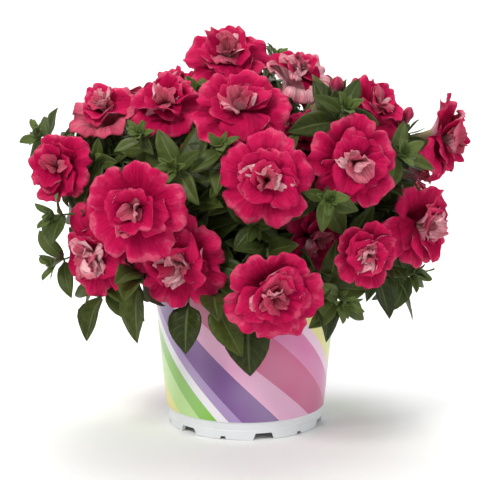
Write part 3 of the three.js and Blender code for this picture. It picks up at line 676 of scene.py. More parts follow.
def smooth(low, high, value):
    """A soft step from 0 at the low end to 1 at the high end."""
    share = np.clip((value - low) / (high - low), 0, 1)
    return share * share * (3 - 2 * share)


# Petals

COROLLA_COLUMNS = 100
TUBE_FOOT_RADIUS = 2.2
TUBE_STATIONS = np.linspace(0, 1, 6)[:-1, None]
LIMB_STATIONS = np.linspace(0, 1, 13)[:, None]
PETAL_STATIONS = np.linspace(0, 1, 13)[:, None]
PETAL_SIDES = np.linspace(-1, 1, 13)[None, :]
PETAL_SEAT = 0.4

# How many pale petals the photograph shows in a bloom's heart; the others have up to four
PALE_PETALS = {
    "left_low": 6, "low_left": 6, "low_right_small": 6, "right_low": 6, "cap_left": 5, "heart": 4,
    "right_heart": 4, "left_heart": 1, "shoulder_left": 2, "brow": 2, "low_right": 2, "crown": 1,
}

# Blooms whose outer petals are streaked pale pink too, and how far
PALE_STREAKED_BLOOMS = {"cap_right": 0.85, "cap_left": 0.2}

# The inner petals that only the fine bloom has, from the low broad ones to the pale ones of its heart: over
# how wide a turn they are spread; how far they lean out in degrees, how long and how wide they are against
# the bloom's radius and how pale they are, each from least to most; how far up they start, and how crumpled
MORE_PETALS = (
    (CHANCE_TURN, (54, 76), (0.7, 0.95), (0.66, 0.98), (0.0, 0.0), 0.6, 1.2),
    (CHANCE_TURN, (24, 52), (0.5, 0.76), (0.46, 0.7), (0.0, 0.3), 2.4, 1.3),
    (4.4, (18, 66), (0.44, 0.7), (0.32, 0.54), (0.6, 1.0), 3.8, 1.5),
)


def lobe_reaches(random):
    """How far each lobe of a corolla reaches, against its bloom's radius.

    The solid draws three more numbers here, for the waves of its rim. They are drawn and left, so that the
    petals after them come out as the solid's do.
    """
    reaches = np.array([0.92 + 0.14 * random() for _ in range(LOBES)])
    for _ in range(3):
        random()
    return reaches


def lobe_at(angle):
    """The lobe of a corolla that an angle is in, and how far across it the angle is, from -1 to 1."""
    turn = angle * LOBES / (2 * math.pi) + 0.5
    return np.floor(turn).astype(int) % LOBES, 2 * (turn % 1) - 1


def petal_tone(bloom, noise):
    """How far a petal leans from deep crimson to a lighter, older pink, partly as its whole bloom does."""
    return 0.4 * noise.random() + 0.6 * (bloom["seed"] * 0.618 % 1)


def corolla_tube(bloom, angle, throat):
    """The narrow tube, which widens from the calyx to the throat and has a shallow furrow for each lobe."""
    widening = (throat - TUBE_FOOT_RADIUS) * TUBE_STATIONS**1.25
    radius = TUBE_FOOT_RADIUS + widening + 0.1 * np.cos(LOBES * angle)
    return polar(angle, radius, bloom["tube_top"] * TUBE_STATIONS)


def corolla_limb(bloom, angle, throat, reaches, noise):
    """The flared limb: five broad lobes that lean and curl in their own ways and overlap at their edges."""
    s, radius, tube_top = LIMB_STATIONS, bloom["radius"], bloom["tube_top"]
    lobe, w = lobe_at(angle)
    phase = CHANCE_TURN * noise.random((LOBES, 4))[lobe].T
    tilt = radius * (0.32 * noise.random(LOBES) - 0.18)
    curl = radius * (0.26 * noise.random(LOBES) - 0.2)
    spread = 0.92 + 0.13 * noise.random(LOBES)
    rounded = 1 - 0.06 * np.abs(w) ** 3 - 0.13 * np.exp(-(((1 - np.abs(w)) / 0.12) ** 2))
    ragged = 0.03 * np.sin(5.5 * w + phase[0]) + 0.016 * np.sin(15 * w + phase[1])
    reach = radius * reaches[lobe] * spread[lobe] * (rounded + ragged)
    height = tube_top + (bloom["rim_height"] - tube_top + 1.2) * (1 - (1 - s) ** 1.7)
    height = height + tilt[lobe] * (1 - 0.75 * w**6) * s**2
    overlap = 0.06 * radius * w * np.abs(w) * s**1.3
    pleats = 0.065 * radius * np.sin(4.2 * w + phase[2]) * s**1.2
    frill = 0.06 * radius * np.sin(8.5 * w + phase[3]) * s**2.6
    recurve = curl[lobe] * s**4
    keel = 0.03 * radius * (1 - w * w) * np.sin(math.pi * s)
    furrow = -0.35 * (1 - s) * np.cos(LOBES * angle)
    height = height + overlap + pleats + frill + recurve + keel + furrow
    return polar(angle, throat + (reach - throat) * s, height)


def add_corolla(gathered, bloom, reaches, noise):
    """The outer trumpet of a bloom: a narrow tube that opens into a broad limb."""
    throat = THROAT_RADIUS * min(1, 1.1 * bloom["radius"] / FULL_RADIUS)
    angle = (np.arange(COROLLA_COLUMNS) + 0.5) * 2 * math.pi / COROLLA_COLUMNS
    limb = corolla_limb(bloom, angle, throat, reaches, noise)
    grid = moved(bloom["frame"], np.concatenate((corolla_tube(bloom, angle, throat), limb)))
    along = np.concatenate((np.zeros_like(TUBE_STATIONS), LIMB_STATIONS))
    lobe, w = lobe_at(angle)
    # radial darkens the throat with painted shade and lightens the rim with a painted highlight in the
    # petal finish
    values = {"along": along, "radial": 0.25 + 0.75 * along, "across": (w * 1.4 + 3 * lobe)[None, :]}
    tone, pale = petal_tone(bloom, noise), PALE_STREAKED_BLOOMS.get(bloom["name"], 0.0)
    add_sheet(gathered, grid, PETAL_SHEET, True, tone=tone, pale=pale, **values)


def solid_petals(bloom, random):
    """The inner petals that the bloom's solid has too.

    Each petal is the angle that it stands at, how far it leans out, how far up it starts, its length and
    width, how pale it is and how crumpled. The last draw of each is the solid's own ruffle.
    """
    radius = bloom["radius"]
    petals = []
    for share, opened, lift, width in (OUTER_PETALS, INNER_PETALS):
        pale = 0.0 if share > 0.6 else 0.2
        for i in range(3):
            reach = radius * share * (0.84 + 0.32 * random())
            angle = (2 * math.pi * (i + PETAL_START + 0.12 * (random() - 0.5))) / 3
            tilt = math.radians(opened + 8 * (random() - 0.5))
            wide = reach * width * (0.88 + 0.2 * random())
            random()
            petals.append((angle, tilt + 0.1, lift, reach * 1.1, wide * 1.25, pale, 1.1))
    return petals


def more_petals(bloom, noise):
    """The inner petals that only the fine bloom has.

    Two to four are broad and low, one to three stand half up, and the pale crumpled ones gather at one side
    of the heart.
    """
    radius = bloom["radius"]
    side = CHANCE_TURN * noise.random()
    counts = [int(count) for count in (2, 1, 0) + (3, 3, 5) * noise.random(3)]
    counts[2] = PALE_PETALS.get(bloom["name"], counts[2])
    petals = []
    for count, (spread, *ranges, lift, crumple) in zip(counts, MORE_PETALS):
        for i in range(count):
            angle = side + spread * (i + 0.7 * noise.random()) / count
            tilt, long, wide, pale = (low + (high - low) * noise.random() for low, high in ranges)
            start = lift + 0.8 * noise.random()
            petals.append((angle, math.radians(tilt), start, radius * long, radius * wide, pale, crumple))
        side += 0.9
    return petals


def petal_outline(width, phase):
    """How far along its length and how far aside each point of a petal is, and half its width there.

    A narrow claw widens into a round blade, with a notch somewhere in its tip.
    """
    u, v = PETAL_STATIONS, PETAL_SIDES
    notch = np.exp(-(((v - 0.2 * math.sin(phase[0])) / 0.14) ** 2))
    tip = 1 - 0.36 * np.abs(v) ** 2.4 - 0.09 * notch + 0.02 * np.sin(9 * v + phase[6])
    half = width / 2 * (0.14 + 0.86 * np.sin(math.pi / 2 * np.clip(u / 0.78, 0, 1)) ** 1.15)
    return u * (1 - (1 - tip) * u**1.3), v * half * (1 - 0.12 * smooth(0.8, 1, u)), half


def petal_waves(size, share, margin, phase):
    """The slow waves of a petal's blade and the quick frill of its margin, as large as it is crumpled."""
    u, v = PETAL_STATIONS, PETAL_SIDES
    slow = np.sin((2.4 + 0.8 * math.sin(phase[5])) * v + phase[3])
    quick = 0.4 * np.sin(5.6 * v + 3.2 * u + phase[4])
    frill = 0.034 * size * margin * np.sin(8.5 * v + 5 * u + phase[5])
    return 0.085 * size * share**1.3 * (slow + quick) + frill


def add_petal(gathered, bloom, floor, petal, noise):
    """One inner petal: a wavy blade on a narrow claw, which bends outwards and twists a little."""
    angle, tilt, lift, reach, width, pale, crumple = petal
    u, v = PETAL_STATIONS, PETAL_SIDES
    phase = CHANCE_TURN * noise.random(7)
    share, aside, half = petal_outline(width, phase)
    margin = smooth(0.5, 1, np.maximum(u, np.abs(v) * smooth(0.2, 0.6, u)))
    first, bend = tilt - 0.55 + 0.2 * math.sin(phase[1]), 1.1 + 0.8 * math.sin(phase[2])
    lean = first + bend * share
    fold = 0.15 + 0.3 * math.sin(phase[6]) * (1 if crumple < 1.2 else 1.9)
    cup = fold * np.abs(aside) * np.sin(math.pi * np.clip(share, 0, 1) ** 0.7)
    raised = petal_waves(reach * crumple, share, margin, phase) + cup
    out = 1.2 + reach * (math.cos(first) - np.cos(lean)) / bend - np.cos(lean) * raised
    up = floor + lift + reach * (np.sin(lean) - math.sin(first)) / bend + np.sin(lean) * raised
    turn = 0.35 * math.sin(phase[0]) * share * crumple
    x, y = out * np.cos(turn) - aside * np.sin(turn), out * np.sin(turn) + aside * np.cos(turn)
    grid = moved(bloom["frame"], np.stack((x, y, up), axis=-1) @ about_axis(angle).T)
    # radial grows at the tip and margins for a painted highlight and shrinks towards the claw for painted
    # shade
    radial = 0.22 + 0.5 * share + 0.26 * margin
    values = {"along": share, "radial": radial, "across": v * half / (width / 2), "pale": pale}
    add_sheet(gathered, grid, PETAL_SHEET, tone=petal_tone(bloom, noise), **values)


def make_bloom(bloom, material):
    """One double flower: its trumpet and the petals that fill its heart, as one mesh."""
    random = seeded(bloom["seed"])
    noise = np.random.default_rng(bloom["seed"])
    floor = (bloom["tube_top"] + bloom["rim_height"]) / 2 + PETAL_SEAT
    gathered = Gathered("along", "across", "radial", "tone", "pale", "back")
    add_corolla(gathered, bloom, lobe_reaches(random), noise)
    for petal in solid_petals(bloom, random) + more_petals(bloom, noise):
        add_petal(gathered, bloom, floor, petal, noise)
    piece = gathered.made("petals_" + bloom["name"], material)
    finish_piece(piece, "petals", "bloom_" + bloom["name"])


# Buds
BUD_COLUMNS = 40
BUD_SHEET = 0.1
BUD_PLEATS = 0.12
BUD_WINDING = 5

# A bud's radius at shares of its length, in millimetres along its tube, and then as shares of the bud's
# greatest radius where it swells and closes
BUD_TUBE = ((0, 1.5), (0.02, 2.2), (0.2, 2.3), (0.4, 2.5), (0.5, 2.9))
BUD_SWELL = (
    (0.58, 0.8), (0.66, 0.96), (0.74, 1), (0.82, 0.9), (0.89, 0.7), (0.94, 0.48), (0.98, 0.26), (1, 0.06),
)


def make_bud(index, row, material):
    """A closed bud: five pleats wound round each other."""
    bud = bud_plan(row)
    profile = [*BUD_TUBE, *((share, bud["radius"] * part) for share, part in BUD_SWELL)]
    along, radius = (np.array(column)[:, None] for column in zip(*profile))
    angle = ring_angles(BUD_COLUMNS)
    pleats = np.cos(LOBES * angle + BUD_WINDING * along)
    swollen = radius * (1 + BUD_PLEATS * smooth(0.35, 0.7, along) * pleats)
    grid = moved(bud["frame"], polar(angle, swollen, bud["length"] * along))
    gathered = Gathered("along", "across", "tone", "back")
    # across is 1 on a pleat's ridge and 0 in its furrow, where the bud finish paints shade
    add_sheet(gathered, grid, BUD_SHEET, True, along=along, across=0.5 + 0.5 * pleats, tone=0.5)
    piece = gathered.made("petals_bud_%d" % (index + 1), material)
    finish_piece(piece, "buds", "bud_%d" % (index + 1))


# Leaves

# How far chance turns a leaf about its own length and how far the light can turn it, in radians; between
# which depths the light from the front comes in; the share of the light's turn that a leaf of a whorl and a
# filler leaf take; and how young each whorl's leaves are
LEAF_ROLL = 0.8
LIGHT_TURN = 0.95
FRONT_FROM = 20
FRONT_TO = -40
WHORL_SHARE = 1.0
FILLER_SHARE = 0.5
WHORL_YOUTH = (0.1, 0.35, 0.85)
TIP_LEAVES = 9
GOLDEN_ANGLE = 2.39996

# Fine leaves that fill the plant between the whorls: how far apart they start along a stem, their lengths,
# and the sizes and turns that each is tried with until one is clear
FILL_STEP = 5.2
FILL_LENGTHS = (22, 37)
FILL_TRIALS = ((1, 0), (1, 0.5), (1, -0.5), (0.8, 0), (0.8, 0.6), (0.8, -0.6), (0.62, 0), (0.5, 0.3))

# The stations of a leaf's grid: along it, and across it with the midrib in the middle; how many side veins
# it has along its length, and how many of their spacings they reach forwards
LEAF_STATIONS = np.array((0, 0.07, 0.18, 0.31, 0.45, 0.59, 0.72, 0.84, 0.94, 1))[:, None]
LEAF_SIDES = np.array((-1, -0.6, -0.15, 0, 0.15, 0.6, 1))[None, :]
SIDE_VEINS = 6.5
VEIN_SLANT = 1.6


def rolled(leaf, angle):
    """A leaf turned about its own length."""
    across, normal = leaf["across"], leaf["normal"]
    cos, sin = math.cos(angle), math.sin(angle)
    return {**leaf, "across": across * cos + normal * sin, "normal": normal * cos - across * sin}


def turned_to_light(leaf, share, noise):
    """A leaf turned about its own length towards the light.

    The light comes from above, from outside and, for leaves at the front, from the front.
    """
    tip = leaf["origin"] + leaf["along"]
    front = smooth(FRONT_FROM, FRONT_TO, tip[1])
    light = (1 - 0.5 * front) * unit(tip * (1, 1, 0)) - 0.9 * front * np.array((0, 1, 0)) + 0.5 * UP
    angle = math.atan2(-(light @ leaf["across"]), light @ leaf["normal"])
    angle = share * max(-LIGHT_TURN, min(LIGHT_TURN, angle))
    return rolled(leaf, angle + LEAF_ROLL * (noise.random() - 0.5))


def add_leaf(gathered, leaf, noise, young):
    """One leaf blade with its sunken midrib, raised between its side veins, wavy at its margin."""
    u, v = LEAF_STATIONS, LEAF_SIDES
    outline = blade_outline(np.clip(u, 0.0001, 0.9999)) * smooth(0.0, 0.2, u)
    half = np.maximum(leaf["width"] / 2 * outline, np.where(u > 0.99, 0.08, 0.55))
    length = np.linalg.norm(leaf["along"])
    phase = CHANCE_TURN * noise.random(3)
    ripple = np.sin(7.5 * u + phase[0] + 1.5 * np.sign(v) * phase[1])
    wave = 0.035 * length * np.abs(v) ** 1.5 * outline * ripple
    between_veins = np.cos(2 * math.pi * (SIDE_VEINS * u - VEIN_SLANT * np.abs(v)))
    quilt = 0.012 * length * outline * between_veins * (1 - v**2)
    groove = -0.5 * np.exp(-((v / 0.16) ** 2)) * smooth(0, 0.1, u) * (1 - 0.7 * u)
    curl = -0.06 * length * u**4 * (1 + math.sin(phase[2]))
    twist = 0.25 * math.sin(phase[1]) * u * v * half
    height = leaf["fold"] * np.abs(v) * half + wave + quilt + groove + curl + twist
    grid = leaf["origin"] + leaf["along"] * u[..., None] + leaf["droop"] * (u * u)[..., None]
    grid = grid + leaf["across"] * (v * half)[..., None] + leaf["normal"] * height[..., None]
    add_sheet(gathered, grid, LEAF_SHEET, along=u, across=v, tone=noise.random(), young=young)


def filler_leaves(stem, blooms, others, noise):
    """Leaves all along a leafy stem, wherever they are clear of the blooms and of each other."""
    # Each curve, and the shares of it between which leaves start
    curves = [(stem["main"], 0.3, 1.0)] + [(stalk["curve"], 0.1, 0.9) for stalk in stem["stalks"]]
    curves += [(shoot["curve"], 0.1, 0.92) for shoot in stem["shoots"]]
    curves += [(low["curve"], 0.5, 0.97) for low in stem["low_leaves"]]
    found = []
    for curve, low, high in curves:
        length = np.linalg.norm(curve[3] - curve[0])
        count = max(1, round((high - low) * length / FILL_STEP))
        turn = CHANCE_TURN * noise.random()
        for i in range(2 * count):
            t = low + (high - low) * (i // 2 + 0.5) / count
            place = frame_along(tangent_on(curve, t), point_on(curve, t))
            turn += GOLDEN_ANGLE if i % 2 else math.pi
            leaf = filler_leaf(place, turn, blooms, others, noise)
            if leaf:
                found.append(leaf)
    return found


def filler_leaf(place, turn, blooms, others, noise):
    """The largest leaf that is clear of the rest at this turn round a stem, or none."""
    base, axis = place[:3, 3], place[:3, 2]
    out = unit(base * (1, 1, 0) - np.array((0, 0, 0.001)))
    length = FILL_LENGTHS[0] + (FILL_LENGTHS[1] - FILL_LENGTHS[0]) * noise.random()
    for size, swing in FILL_TRIALS:
        radial = place[:3, 0] * math.cos(turn + swing) + place[:3, 1] * math.sin(turn + swing)
        direction = unit(radial + 0.35 * axis + 0.35 * out + 0.12 * UP)
        reach = length * size
        up = 0.8 * UP + 0.45 * out + 0.3 * axis
        leaf = blade_plan(base, direction, up, reach, 0.5 * reach, fold=0.3, droop=0.14)
        samples = blade_samples(leaf)
        if is_clear(samples, blooms, others, FILLER_CLEARANCE, FILLER_SPACING):
            others.extend(samples)
            return leaf
    return None


def tip_leaves(shoot, noise):
    """The smallest leaves in the heart of a shoot tip."""
    place = frame_along(shoot["direction"], shoot["tip"])
    leaves = []
    for i in range(TIP_LEAVES):
        angle = GOLDEN_ANGLE * i + 0.4 * noise.random()
        tilt = math.radians(50 - 42 * i / TIP_LEAVES + 8 * noise.random())
        reach = 14 - 8 * i / TIP_LEAVES + 2 * noise.random()
        leaf = {"angle": angle, "tilt": tilt, "reach": reach, "width": 0.32 * reach}
        leaves.append(whorl_blade(place, leaf))
    return leaves


def make_leaves(stem, fillers, material):
    """All the leaves of one leafy stem, as one mesh."""
    noise = np.random.default_rng(len(stem["name"]) + 10 * len(fillers))
    gathered = Gathered("along", "across", "tone", "young", "back")
    for shoot in stem["shoots"]:
        for whorl, young in zip(shoot["whorls"], WHORL_YOUTH):
            for leaf in whorl["leaves"]:
                blade = whorl_blade(whorl["frame"], leaf)
                add_leaf(gathered, turned_to_light(blade, WHORL_SHARE, noise), noise, young)
        for leaf in tip_leaves(shoot, noise):
            add_leaf(gathered, leaf, noise, 1.0)
    for low in stem["low_leaves"]:
        add_leaf(gathered, low["leaf"], noise, 0.0)
    for leaf in fillers:
        add_leaf(gathered, turned_to_light(leaf, FILLER_SHARE, noise), noise, 0.1 + 0.3 * noise.random())
    piece = gathered.made("leaves_" + stem["name"], material)
    finish_piece(piece, "foliage", "leafy_stem_" + stem["name"])


def finish_piece(piece, slot, *nodes):
    """Fixes a finished piece to the body and hides the solids that it replaces. Its slot is not used."""
    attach(piece, "root")
    if nodes:
        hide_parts(*nodes)


# Node trees

# Sockets that share a name are told apart by number. Map Range takes its value at 0, the ends of its range
# at 1 and 2 and the ends of its result at 3 and 4. Mix takes its share at 0 and its colours at 6 and 7.


def add_node(tree, kind, inputs=(), stops=(), **settings):
    """Adds a node with its settings, the colour stops of a ramp, and its inputs.

    An input takes a constant, a socket, or a node, whose first output in use is then linked.
    """
    made = tree.nodes.new(kind)
    for name, value in settings.items():
        setattr(made, name, value)
    for i, (place, colour) in enumerate(stops):
        points = made.color_ramp.elements
        point = points[i] if i < 2 else points.new(place)
        point.position, point.color = place, linear(colour)
    for key, value in dict(inputs).items():
        if isinstance(value, bpy.types.Node):
            value = next(output for output in value.outputs if output.enabled)
        if isinstance(value, bpy.types.NodeSocket):
            tree.links.new(value, made.inputs[key])
        else:
            made.inputs[key].default_value = value
    return made


def new_tree(name, sizes):
    """An empty geometry tree with a geometry input and output, and one named input for each size."""
    tree = bpy.data.node_groups.new(name, "GeometryNodeTree")
    tree.interface.new_socket("Geometry", in_out="INPUT", socket_type="NodeSocketGeometry")
    for size, kind in sizes.items():
        tree.interface.new_socket(size, in_out="INPUT", socket_type=kind)
    tree.interface.new_socket("Geometry", in_out="OUTPUT", socket_type="NodeSocketGeometry")
    return tree, add_node(tree, "NodeGroupInput").outputs


def end_tree(tree, geometry, material):
    """Makes what a tree has placed real, gives it its material and hands it out."""
    real = add_node(tree, "GeometryNodeRealizeInstances", {"Geometry": geometry})
    coloured = add_node(tree, "GeometryNodeSetMaterial", {"Geometry": real, "Material": material})
    add_node(tree, "NodeGroupOutput", {0: coloured})


def evaluated_mesh(piece):
    """The plain mesh that an object shows with its modifiers, which are then taken off it."""
    evaluated = piece.evaluated_get(bpy.context.evaluated_depsgraph_get())
    mesh = bpy.data.meshes.new_from_object(evaluated)
    piece.modifiers.clear()
    return mesh


def grown(name, source, tree, values):
    """The plain mesh that a tree makes from an object, as a piece of its own."""
    modifier = source.modifiers.new(name, "NODES")
    modifier.node_group = tree
    for item in tree.interface.items_tree:
        if item.in_out == "INPUT" and item.name in values:
            modifier[item.identifier] = values[item.name]
    mesh = evaluated_mesh(source)
    mesh.name = name
    shade(mesh)
    return placed(name, mesh)


# Stems, calyxes and hairs
STEM_SIDES = 9
CURVE_STEPS = 22
STEM_END_RADIUS = BRANCH_RADIUS + 0.3
STALK_FOOT_RADIUS = BRANCH_RADIUS - 0.15
SHOOT_END_RADIUS = 0.9
SHOOT_TIP_RADIUS = 0.45
LOW_END_RADIUS = 0.7

# The hairs: the length of one, the least and the most that chance makes of it, its radius, and how many
# there are. A density for a tree is counted to the square metre.
HAIR_LENGTH = 1.1
HAIR_LENGTHS = (0.5, 1.2)
HAIR_RADIUS = 0.05
HAIRS_PER_SQUARE_MM = 0.14
PER_SQUARE_METRE = 1e6
HAIR_SEED = 4

# A calyx: the radius and height of its cup's rings, the thickness of cup and sepals, and a sepal's length,
# foot height, distance from the axis and half width
CALYX_COLUMNS = 30
CALYX_RINGS = ((1.3, -4.6), (2.1, -3.6), (3.3, -2.2), (4.1, -0.4), (4.4, 1.6), (4.5, 3.4))
CUP_SHEET = 0.6
SEPAL_SHEET = 0.4
SEPAL_STATIONS = np.linspace(0, 1, 8)[:, None]
SEPAL_SIDES = np.linspace(-1, 1, 5)[None, :]
SEPAL_LENGTH = 13.5
SEPAL_FOOT = 1.5
SEPAL_DISTANCE = 4.3
SEPAL_HALF_WIDTH = 1.1


def stem_tree(material):
    """Round stems of a curve's own radius, along every spline of a curve object."""
    tree, given = new_tree("round_stems", {"Sides": "NodeSocketInt"})
    ring = add_node(tree, "GeometryNodeCurvePrimitiveCircle", {"Resolution": given["Sides"], "Radius": 1.0})
    radius = add_node(tree, "GeometryNodeInputRadius")
    stems = add_node(tree, "GeometryNodeCurveToMesh", {
        "Curve": given["Geometry"],
        "Profile Curve": ring.outputs[0],
        "Scale": radius.outputs[0],
        "Fill Caps": True,
    })
    end_tree(tree, stems.outputs[0], material)
    return tree


def scatter_tree(name, sizes, shape_of, material):
    """A tree that sets one small shape, turned and scaled by chance, all over a surface.

    shape_of takes the tree and its inputs, and gives the shape, its turn (or none for upright on the
    surface) and its scale.
    """
    kinds = {size: "NodeSocketFloat" for size in (*sizes, "Density")}
    tree, given = new_tree(name, {**kinds, "Seed": "NodeSocketInt"})
    points = add_node(tree, "GeometryNodeDistributePointsOnFaces", {
        "Mesh": given["Geometry"],
        "Density": given["Density"],
        "Seed": given["Seed"],
    })
    shape, turn, scale = shape_of(tree, given)
    scattered = add_node(tree, "GeometryNodeInstanceOnPoints", {
        "Points": points.outputs["Points"],
        "Instance": shape.outputs["Mesh"],
        "Rotation": turn or points.outputs["Rotation"],
        "Scale": scale,
    })
    end_tree(tree, scattered.outputs[0], material)
    return tree


def hair_shape(tree, given):
    """A short pointed hair that stands out from its surface, of uneven length."""
    hair = add_node(tree, "GeometryNodeMeshCone", {
        "Vertices": 3,
        "Radius Top": 0.0,
        "Radius Bottom": given["Radius"],
        "Depth": given["Length"],
    })
    least, most = HAIR_LENGTHS
    lengths = add_node(tree, "FunctionNodeRandomValue", {2: least, 3: most, "Seed": given["Seed"]},
                       data_type="FLOAT")
    scale = add_node(tree, "ShaderNodeCombineXYZ", {0: 1.0, 1: 1.0, 2: lengths.outputs[1]})
    return hair, None, scale.outputs[0]


def crumb_shape(tree, given):
    """An uneven crumb, turned any way and half sunk in its surface."""
    crumb = add_node(tree, "GeometryNodeMeshIcoSphere", {"Radius": given["Size"], "Subdivisions": 1})
    chances = []
    for least, most in (((0.0,) * 3, (CHANCE_TURN,) * 3), ((0.3, 0.35, 0.3), (1.3, 1.0, 1.0))):
        chance = add_node(tree, "FunctionNodeRandomValue", {0: least, 1: most, "Seed": given["Seed"]},
                          data_type="FLOAT_VECTOR")
        chances.append(chance.outputs[0])
    return crumb, *chances


def shoot_end(shoot):
    """The straight piece of stem that runs through a shoot's whorls to its tip."""
    tip, base = shoot["tip"], shoot["curve"][3]
    return [base, base + (tip - base) / 3, base + (tip - base) * 2 / 3, tip + shoot["direction"] * 2]


def stem_curves(stem):
    """A curve object with a spline for the main stem and for each of its branches."""
    data = bpy.data.curves.new("stem_" + stem["name"], "CURVE")
    data.dimensions = "3D"
    runs = [(stem["main"], STEM_RADIUS, STEM_END_RADIUS)]
    runs += [(stalk["curve"], STALK_FOOT_RADIUS, BRANCH_RADIUS) for stalk in stem["stalks"]]
    runs += [(shoot["curve"], BRANCH_RADIUS, SHOOT_END_RADIUS) for shoot in stem["shoots"]]
    runs += [(shoot_end(shoot), SHOOT_END_RADIUS, SHOOT_TIP_RADIUS) for shoot in stem["shoots"]]
    runs += [(low["curve"], BRANCH_RADIUS, LOW_END_RADIUS) for low in stem["low_leaves"]]
    for curve, first, last in runs:
        spline = data.splines.new("POLY")
        spline.points.add(CURVE_STEPS - 1)
        for i, point in enumerate(spline.points):
            t = i / (CURVE_STEPS - 1)
            point.co = (*(point_on(curve, t) * MM), 1)
            point.radius = (first + (last - first) * t) * MM
    return placed("stem_" + stem["name"], data)


def add_calyx(gathered, place, noise):
    """A green cup with five long sepals, from which a corolla's tube stands."""
    angle = ring_angles(CALYX_COLUMNS)
    ribs = np.cos(2 * LOBES * angle)
    cup = np.array([polar(angle, radius * (1 + 0.04 * ribs), height) for radius, height in CALYX_RINGS])
    values = {"along": 0.3, "across": 0.5 * ribs[None, :], "tone": noise.random(), "young": 0.4}
    add_sheet(gathered, moved(place, cup), CUP_SHEET, True, **values)
    u, v = SEPAL_STATIONS, SEPAL_SIDES
    half = (SEPAL_HALF_WIDTH + 1.2 * np.sin(math.pi * u**1.3)) * (1 - 0.75 * u**5)
    for i in range(LOBES):
        flare = (2.6 + 1.2 * noise.random()) * u**3
        out = SEPAL_DISTANCE + 0.9 * u + flare + 0.18 * np.abs(v) * half
        up = (SEPAL_FOOT + SEPAL_LENGTH * u) * np.ones_like(v)
        sepal = np.stack((out, v * half, up), axis=-1) @ about_axis(math.pi / LOBES * (2 * i + 1)).T
        values = {"along": u, "across": v, "tone": noise.random(), "young": 0.45}
        add_sheet(gathered, moved(place, sepal), SEPAL_SHEET, **values)


def make_stems(stem, trees, leaf_finish):
    """The stems of one leafy stem, the calyxes at their ends and the hairs on them all."""
    round_stems, hairs = trees
    source = stem_curves(stem)
    stems = grown("stems_" + stem["name"], source, round_stems, {"Sides": STEM_SIDES})
    bpy.data.objects.remove(source)
    noise = np.random.default_rng(len(stem["stalks"]))
    gathered = Gathered("along", "across", "tone", "young", "back")
    for stalk in stem["stalks"]:
        add_calyx(gathered, stalk["frame"], noise)
    calyxes = gathered.made("calyxes_" + stem["name"], leaf_finish)
    density = HAIRS_PER_SQUARE_MM * PER_SQUARE_METRE
    down = {"Length": HAIR_LENGTH * MM, "Radius": HAIR_RADIUS * MM, "Density": density, "Seed": HAIR_SEED}
    for piece in (stems, calyxes):
        hair = grown("hairs_on_" + piece.name, piece, hairs, down)
        finish_piece(hair, "foliage", "leafy_stem_" + stem["name"])
        finish_piece(piece, "foliage", "leafy_stem_" + stem["name"])


# The pot

# Its foot's corners from inside out, as the distance from the foot's radius and the height, and its rim's,
# from the top of the printed wall over and down inside, as the radius and the height
POT_STEPS = 192
WALL_STATIONS = np.linspace(0.04, 0.96, 12)
RIM_UNDER = POT_HEIGHT - RIM_HEIGHT
FOOT_CORNERS = (
    (-3.6, FLOOR_UNDERSIDE), (-3, 3), (-2.6, 0.3), (-2.3, 0), (-0.4, 0), (0, 0.4), (0.5, 6.2), (0.25, 6.5),
    (0.3, 6.8), (0.9, FOOT_HEIGHT - 0.6), (1.65, FOOT_HEIGHT),
)
RIM_CORNERS = (
    (WALL_TOP_RADIUS, RIM_UNDER),
    (RIM_RADIUS - 0.6, RIM_UNDER + 0.4),
    (RIM_RADIUS, RIM_UNDER + 1),
    (RIM_RADIUS, POT_HEIGHT - 1.4),
    (RIM_RADIUS - 0.25, POT_HEIGHT - 0.5),
    (RIM_RADIUS - 0.9, POT_HEIGHT),
    (WALL_TOP_RADIUS, POT_HEIGHT),
    (WALL_TOP_RADIUS - 0.5, POT_HEIGHT - 0.5),
    (WALL_TOP_RADIUS - WALL, RIM_UNDER),
    (WALL_FOOT_RADIUS - WALL, FLOOR_TOP + 0.6),
    (WALL_FOOT_RADIUS - WALL - 0.8, FLOOR_TOP),
)
CUT_MARGIN = 3
NOTCH_REACH = 6
SHARP_CORNER_DEG = 38


def outward(mesh):
    """Turns a closed mesh's faces outwards."""
    bm = bmesh.new()
    bm.from_mesh(mesh)
    bmesh.ops.recalc_face_normals(bm, faces=bm.faces)
    bm.to_mesh(mesh)
    bm.free()


def pot_profile():
    """The corners of the pot's cross-section, and those of them whose next face carries the print.

    They run from the middle of the underside out, up the printed wall and down inside.
    """
    foot = [(FOOT_RADIUS + out, height) for out, height in FOOT_CORNERS]
    wall = [(WALL_FOOT_RADIUS, FOOT_HEIGHT + 0.3)]
    for share in WALL_STATIONS:
        radius = WALL_FOOT_RADIUS + (WALL_TOP_RADIUS - WALL_FOOT_RADIUS) * share
        wall.append((radius, FOOT_HEIGHT + (RIM_UNDER - FOOT_HEIGHT) * share))
    printed = slice(len(foot), len(foot) + len(wall) - 1)
    return foot + wall + list(RIM_CORNERS), printed


